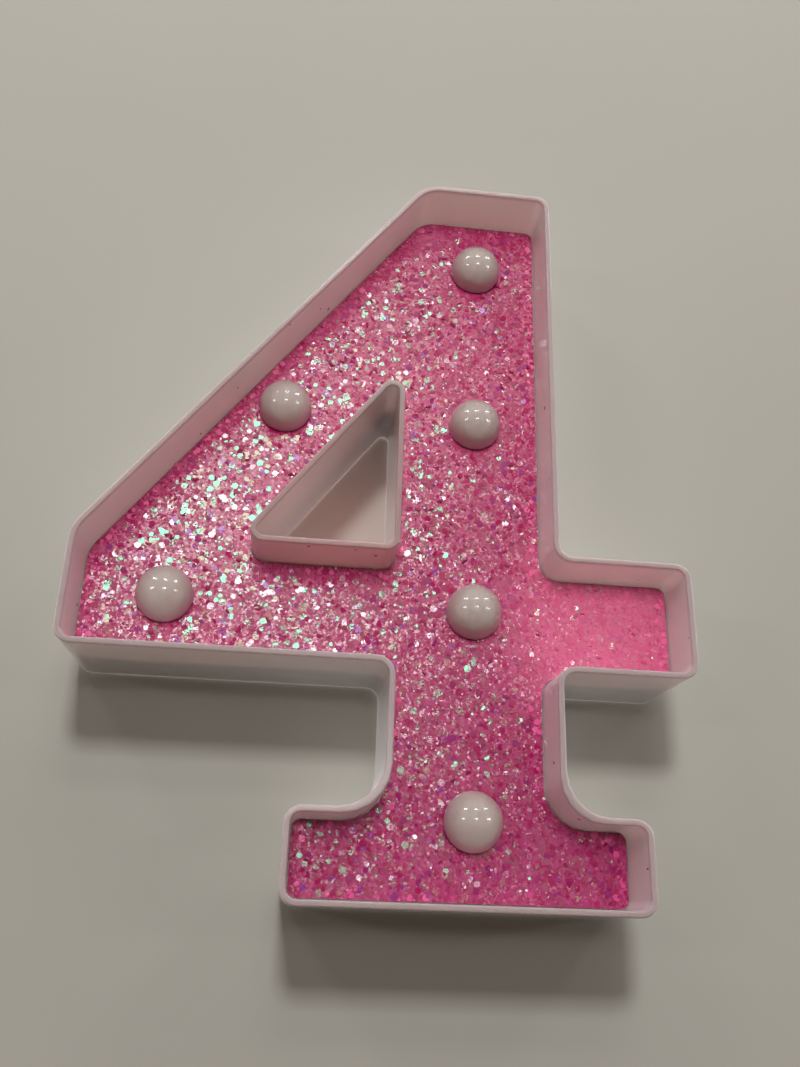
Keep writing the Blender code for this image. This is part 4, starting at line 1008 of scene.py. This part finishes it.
class MARQUEE_OT_switch(bpy.types.Operator):
    """Dress the slide switch"""

    bl_idname = "marquee.switch"
    bl_label = "Switch"

    def execute(self, context):
        settings = context.scene.marquee_housing
        steel = bpy.data.materials["plated steel"]
        black = moulded_material("black plastic", settings.knob, (0.05, 0.05, 0.05), 0.38)
        softened("switch_base", "slide_base", black, BLOCK_ROUND)
        softened("switch_frame", "slide_frame", steel, THIN_ROUND)
        for number in range(1, 4):
            dress(f"switch_terminal_{number}", steel)
        screw = screw_mesh("frame_screw", *FRAME_SCREW)
        for number in (1, 2):
            add_screw(f"frame_screw_{number}", screw, f"switch_screw_{number}", 0.5 + number)
        self.add_knob(black)
        self.add_marks()
        return {"FINISHED"}

    def add_knob(self, black):
        """The sliding knob: a foot under the frame and a stem with three ridges."""
        low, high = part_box("switch_knob")
        centre = middle("switch_knob")
        left, right = centre.x - KNOB_HALF, centre.x + KNOB_HALF
        start, shoulder = low.y + KNOB_FOOT / 2, high.y - KNOB_SHOULDER
        mesh = bmesh.new()
        block(mesh, low, (high.x, low.y + KNOB_FOOT, high.z), BLOCK_ROUND)
        outline = [(left, start), (left, shoulder)]
        for step in (-1, 0, 1):
            ridge = centre.x + RIDGE_PITCH * step
            shape = RIDGE if step == 1 else RIDGE + GROOVE
            outline += [(ridge + across, high.y - down) for across, down in shape]
        outline += [(right, shoulder), (right, start)]
        ends = (centre.z - KNOB_HALF, centre.z + KNOB_HALF)
        loft(mesh, [[mesh.verts.new((x, y, z)) for x, y in outline] for z in ends])
        data = new_mesh("slide_knob_mesh", mesh)
        knob = add_piece("slide_knob", data, black, "switch_knob", body="knob")
        round_edges(knob, THIN_ROUND)

    def add_marks(self):
        """A raised bar and a raised ring beside the switch, for on and off."""
        satin = bpy.data.materials["satin plastic"]
        back = CAD_BOX[1].y
        centre = middle("switch_frame")
        mesh = bmesh.new()
        place = Vector((centre.x + MARK_REACH, back, centre.z))
        half = Vector(BAR_HALF)
        block(mesh, place - half, place + half, 0.12 * MM)
        add_piece("mark_on", new_mesh("mark_on", mesh), satin)
        ring = [(1.05 * MM, 0.0), (1.1 * MM, MARK_HEIGHT), (1.4 * MM, MARK_HEIGHT)]
        ring += [(1.45 * MM, 0.0), (1.45 * MM, -MARK_HEIGHT), (1.05 * MM, -MARK_HEIGHT), ring[0]]
        data = turned("mark_off", ring, 40)
        place = (centre.x - MARK_REACH, back, centre.z)
        add_piece("mark_off", data, satin, None, place)


class MARQUEE_OT_back(bpy.types.Operator):
    """Dress the back cover, the battery door and the cover's screws"""

    bl_idname = "marquee.back"
    bl_label = "Back"

    def execute(self, context):
        settings = context.scene.marquee_housing
        satin = moulded_material(
            "satin plastic", settings.plastic, settings.dust, 0.42, 1500.0, 0.03 * MM
        )
        edge_round = settings.edge_round
        softened("back_cover", "cover", satin, edge_round)
        softened("battery_door", "door", satin, edge_round, body="door")
        self.add_ribs(satin)
        screw = screw_mesh("pan_screw", *COVER_SCREW)
        draws = random.Random(8)
        for number in range(1, 9):
            turn = draws.uniform(0, QUARTER)
            add_screw(f"screw_{number}", screw, f"cover_screw_{number}", turn)
        return {"FINISHED"}

    def add_ribs(self, satin):
        """Raised ribs in the door's finger dish."""
        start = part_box("battery_door")[0].x + GRIP_START
        height = middle("battery_door").z
        floor = CAD_BOX[1].y - GRIP_DEPTH
        mesh = bmesh.new()
        for step in range(4):
            across = start + GRIP_PITCH * step
            low = (across - RIB_HALF, floor - RIB_SINK, height - GRIP_HALF)
            high = (across + RIB_HALF, floor + RIB_HEIGHT, height + GRIP_HALF)
            block(mesh, low, high, BLOCK_ROUND)
        data = new_mesh("grip_ribs", mesh)
        add_piece("grip_ribs", data, satin, body="door")


# Stage

CENTRE = (CAD_BOX[0] + CAD_BOX[1]) / 2
AMBIENT = 0.11
CLOUD_SHADE = 0.97
FADE_REACH = (0.55, 1.2)
NEAR_RAY = 6.0 * MM
# Lamps: azimuth and elevation in degrees, distance and size in metres, power in watts.
FRONT_LAMPS = {
    "main lamp": (-4, 28, 1.3, 0.18, 8.6),
    "glint lamp": (-7, 24, 1.3, 0.46, 9.2),
    "wash lamp": (-2, 10, 1.3, 0.46, 10.4),
}
SIDE_LAMPS = {
    "top lamp": (20, 78, 1.5, 0.8, 7.0),
    "left lamp": (-97, 12, 1.5, 0.6, 8.0),
    "right lamp": (97, 12, 1.5, 0.6, 8.0),
    "back lamp": (180, 26, 1.5, 0.9, 19.0),
}
# The counter's lamp: its size and its power.
COUNTER_LAMP = (16.0 * MM, 0.0032)
COUNTER_LAMP_COLOUR = (1.0, 0.42, 0.42)
# Panels, for the glints on the bulbs: elevation and power of each row.
PANEL_ROWS = ((4, 1.1), (40, 1.5))
PANEL_AZIMUTHS = (-46, 2, 50)
PANEL_DISTANCE = 1.5
PANEL_SIZE = (0.36, 0.10)
# The camera, at the photograph's viewing angle.
CAMERA_PLACE = Vector((-22.07, -263.04, -0.8)) * MM
CAMERA_RIGHT = Vector((0.993102, -0.112788, 0.032043))
CAMERA_UP = Vector((-0.071285, -0.36381, 0.928742))
CAMERA_FORWARD = Vector((0.093094, 0.924619, 0.369341))
CAMERA_LENS = 32.253
SENSOR_LONG_SIDE = 36.0


def stage_ray(tree):
    """Whether a ray sees the stage, from the camera, a mirror or glass; and all that it gives."""
    ray = node(tree, "LightPath").outputs
    seen = ray["Is Camera Ray"]
    for kind in ("Is Glossy Ray", "Is Transmission Ray"):
        seen = calculate(tree, "MAXIMUM", seen, ray[kind])
    return seen, ray


def one_sided(name, colour, bounces=False):
    """A pale surface that the camera sees from its front only, and that fades far from the number.

    One that bounces also colours what stands before it, but not what lies close against it.
    """
    made = bpy.data.materials.new(name)
    made.use_nodes = True
    tree = made.node_tree
    shader = tree.nodes["Principled BSDF"]
    place = object_place(tree)
    clouds = spread(tree, noise(tree, place, 5.0, 5.0), (0.3, 0.7))
    shade = rgba([channel * CLOUD_SHADE for channel in colour])
    tree.links.new(blend(tree, clouds, shade, rgba(colour)), shader.inputs["Base Color"])
    shader.inputs["Roughness"].default_value = 0.7
    seen, ray = stage_ray(tree)
    if bounces:
        far = calculate(tree, "GREATER_THAN", ray["Ray Length"], NEAR_RAY)
        bounce = calculate(tree, "MULTIPLY", far, ray["Is Diffuse Ray"])
        seen = calculate(tree, "MAXIMUM", seen, bounce)
    behind = node(tree, "NewGeometry").outputs["Backfacing"]
    front = calculate(tree, "SUBTRACT", seen, behind, use_clamp=True)
    near = spread(tree, vector(tree, "DISTANCE", place, CENTRE), FADE_REACH, FALL)
    share = calculate(tree, "MULTIPLY", front, near)
    through = node(tree, "BsdfTransparent").outputs[0]
    mixed = node(tree, "MixShader", {0: share, 1: through, 2: shader.outputs[0]})
    tree.links.new(mixed.outputs[0], tree.nodes["Material Output"].inputs["Surface"])
    return made


def stage_plane(name, corners, surface):
    data = bpy.data.meshes.new(name)
    data.from_pydata(corners, [], [(0, 1, 2, 3)])
    data.materials.append(surface)
    plane = add_object(name, data)
    return plane


def add_lamp(name, place, target, size, power):
    """A square soft lamp that looks at a point."""
    data = bpy.data.lights.new(name, "AREA")
    data.size = size
    data.energy = power
    lamp = add_object(name, data)
    lamp.location = place
    lamp.rotation_euler = (target - place).to_track_quat("-Z", "Y").to_euler()
    return lamp


def lamp_place(azimuth, elevation, distance):
    """A place round the number: azimuth 0 is in front, 90 to the right."""
    a, e = math.radians(azimuth), math.radians(elevation)
    ray = Vector((math.sin(a) * math.cos(e), -math.cos(a) * math.cos(e), math.sin(e)))
    return CENTRE + ray * distance


def add_lamps(table):
    return {
        name: add_lamp(name, lamp_place(azimuth, elevation, distance), CENTRE, size, power)
        for name, (azimuth, elevation, distance, size, power) in table.items()
    }


def receivers(name, pieces, state="INCLUDE"):
    """A collection for a lamp that lights only these pieces, or all but them."""
    made = bpy.data.collections.new(name)
    for piece in pieces:
        made.objects.link(piece)
    for entry in made.collection_objects:
        entry.light_linking.link_state = state
    return made


class MARQUEE_OT_stage(bpy.types.Operator):
    """Make the wall, the floor, the lamps, the light all round and the camera"""

    bl_idname = "marquee.stage"
    bl_label = "Stage"

    def execute(self, context):
        settings = context.scene.marquee_stage
        reach = settings.reach
        back = CAD_BOX[1].y + settings.gap
        corners = ((-reach, -reach), (reach, -reach), (reach, reach), (-reach, reach))
        paint = one_sided("wall paint", settings.wall, bounces=True)
        wall = stage_plane("wall", [(x, back, z) for x, z in corners], paint)
        paint = one_sided("floor paint", settings.floor)
        stage_plane("floor", [(x, y, 0.0) for x, y in corners], paint)
        self.add_lights(wall)
        self.light_all_round(context, settings)
        self.add_camera(context)
        context.scene.view_settings.view_transform = "Standard"
        return {"FINISHED"}

    def add_lights(self, wall):
        """The lamps: the glitter has one of its own for its colour and one for its glints.

        The counter's lamp stands for the light that comes through the number's walls.
        """
        lamps = add_lamps(FRONT_LAMPS)
        mouth = COUNTER_PLACE + Vector((0.0, CAD_BOX[0].y, 0.0))
        counter = add_lamp("counter lamp", mouth, COUNTER_PLACE, *COUNTER_LAMP)
        counter.data.color = COUNTER_LAMP_COLOUR
        counter.visible_camera = False
        counter.visible_glossy = False
        counter.light_linking.receiver_collection = receivers("behind the counter", [wall])
        for row, (elevation, power) in enumerate(PANEL_ROWS):
            for column, azimuth in enumerate(PANEL_AZIMUTHS):
                place = lamp_place(azimuth, elevation, PANEL_DISTANCE)
                panel = add_lamp(f"panel lamp {row}{column}", place, CENTRE, PANEL_SIZE[0], power)
                panel.data.shape = "RECTANGLE"
                panel.data.size_y = PANEL_SIZE[1]
        lamps |= add_lamps(SIDE_LAMPS)
        lamps["glint lamp"].visible_diffuse = False
        for name in ("main lamp", "wash lamp", "top lamp"):
            lamps[name].visible_glossy = False
        sheet = frame["nodes"]["glitter_sheet"]
        flakes = [piece for piece in bpy.data.objects if piece.name.startswith("flakes_")]
        sparkling = receivers("sparkling", [sheet, *flakes])
        for name in ("glint lamp", "wash lamp"):
            lamps[name].light_linking.receiver_collection = sparkling
        spared = receivers("spared by the main lamp", [sheet, *flakes], "EXCLUDE")
        lamps["main lamp"].light_linking.receiver_collection = spared

    def light_all_round(self, context, settings):
        """A dim sky that lights the number, and the pale room that is seen instead of it."""
        world = bpy.data.worlds.new("pale room")
        context.scene.world = world
        world.use_nodes = True
        tree = world.node_tree
        sky = rgba([channel * AMBIENT for channel in settings.sky])
        colour = blend(tree, stage_ray(tree)[0], sky, rgba(settings.backdrop))
        tree.links.new(colour, tree.nodes["Background"].inputs["Color"])

    def add_camera(self, context):
        data = bpy.data.cameras.new("camera")
        data.sensor_fit = "AUTO"
        data.sensor_width = SENSOR_LONG_SIDE
        data.lens = CAMERA_LENS
        data.clip_start = 0.01
        camera = add_object("camera", data)
        turn = Matrix((CAMERA_RIGHT, CAMERA_UP, -CAMERA_FORWARD)).transposed()
        camera.matrix_world = Matrix.Translation(CAMERA_PLACE) @ turn.to_4x4()
        context.scene.camera = camera


# Panel

OPERATORS = (
    MARQUEE_OT_housing,
    MARQUEE_OT_glitter,
    MARQUEE_OT_bulbs,
    MARQUEE_OT_workings,
    MARQUEE_OT_back,
    MARQUEE_OT_switch,
    MARQUEE_OT_stage,
)


class MARQUEE_PT_panel(bpy.types.Panel):
    """The number's settings and steps"""

    bl_idname = "MARQUEE_PT_panel"
    bl_label = "Marquee number"
    bl_space_type = "VIEW_3D"
    bl_region_type = "UI"
    bl_category = "Marquee"

    def draw(self, context):
        for operator in OPERATORS:
            self.layout.operator(operator.bl_idname)
        for name, group_type in SETTINGS.items():
            column = self.layout.column(heading=group_type.__doc__)
            for key in group_type.__annotations__:
                column.prop(getattr(context.scene, name), key)


CLASSES = (*SETTINGS.values(), *OPERATORS, MARQUEE_PT_panel)


def register():
    for made in CLASSES:
        bpy.utils.register_class(made)
    for name, group_type in SETTINGS.items():
        setattr(bpy.types.Scene, name, PointerProperty(type=group_type))


def unregister():
    for name in SETTINGS:
        delattr(bpy.types.Scene, name)
    for made in reversed(CLASSES):
        bpy.utils.unregister_class(made)


def main():
    register()
    for operator in OPERATORS:
        space, name = operator.bl_idname.split(".")
        getattr(getattr(bpy.ops, space), name)()


if __name__ == "__main__":
    main()
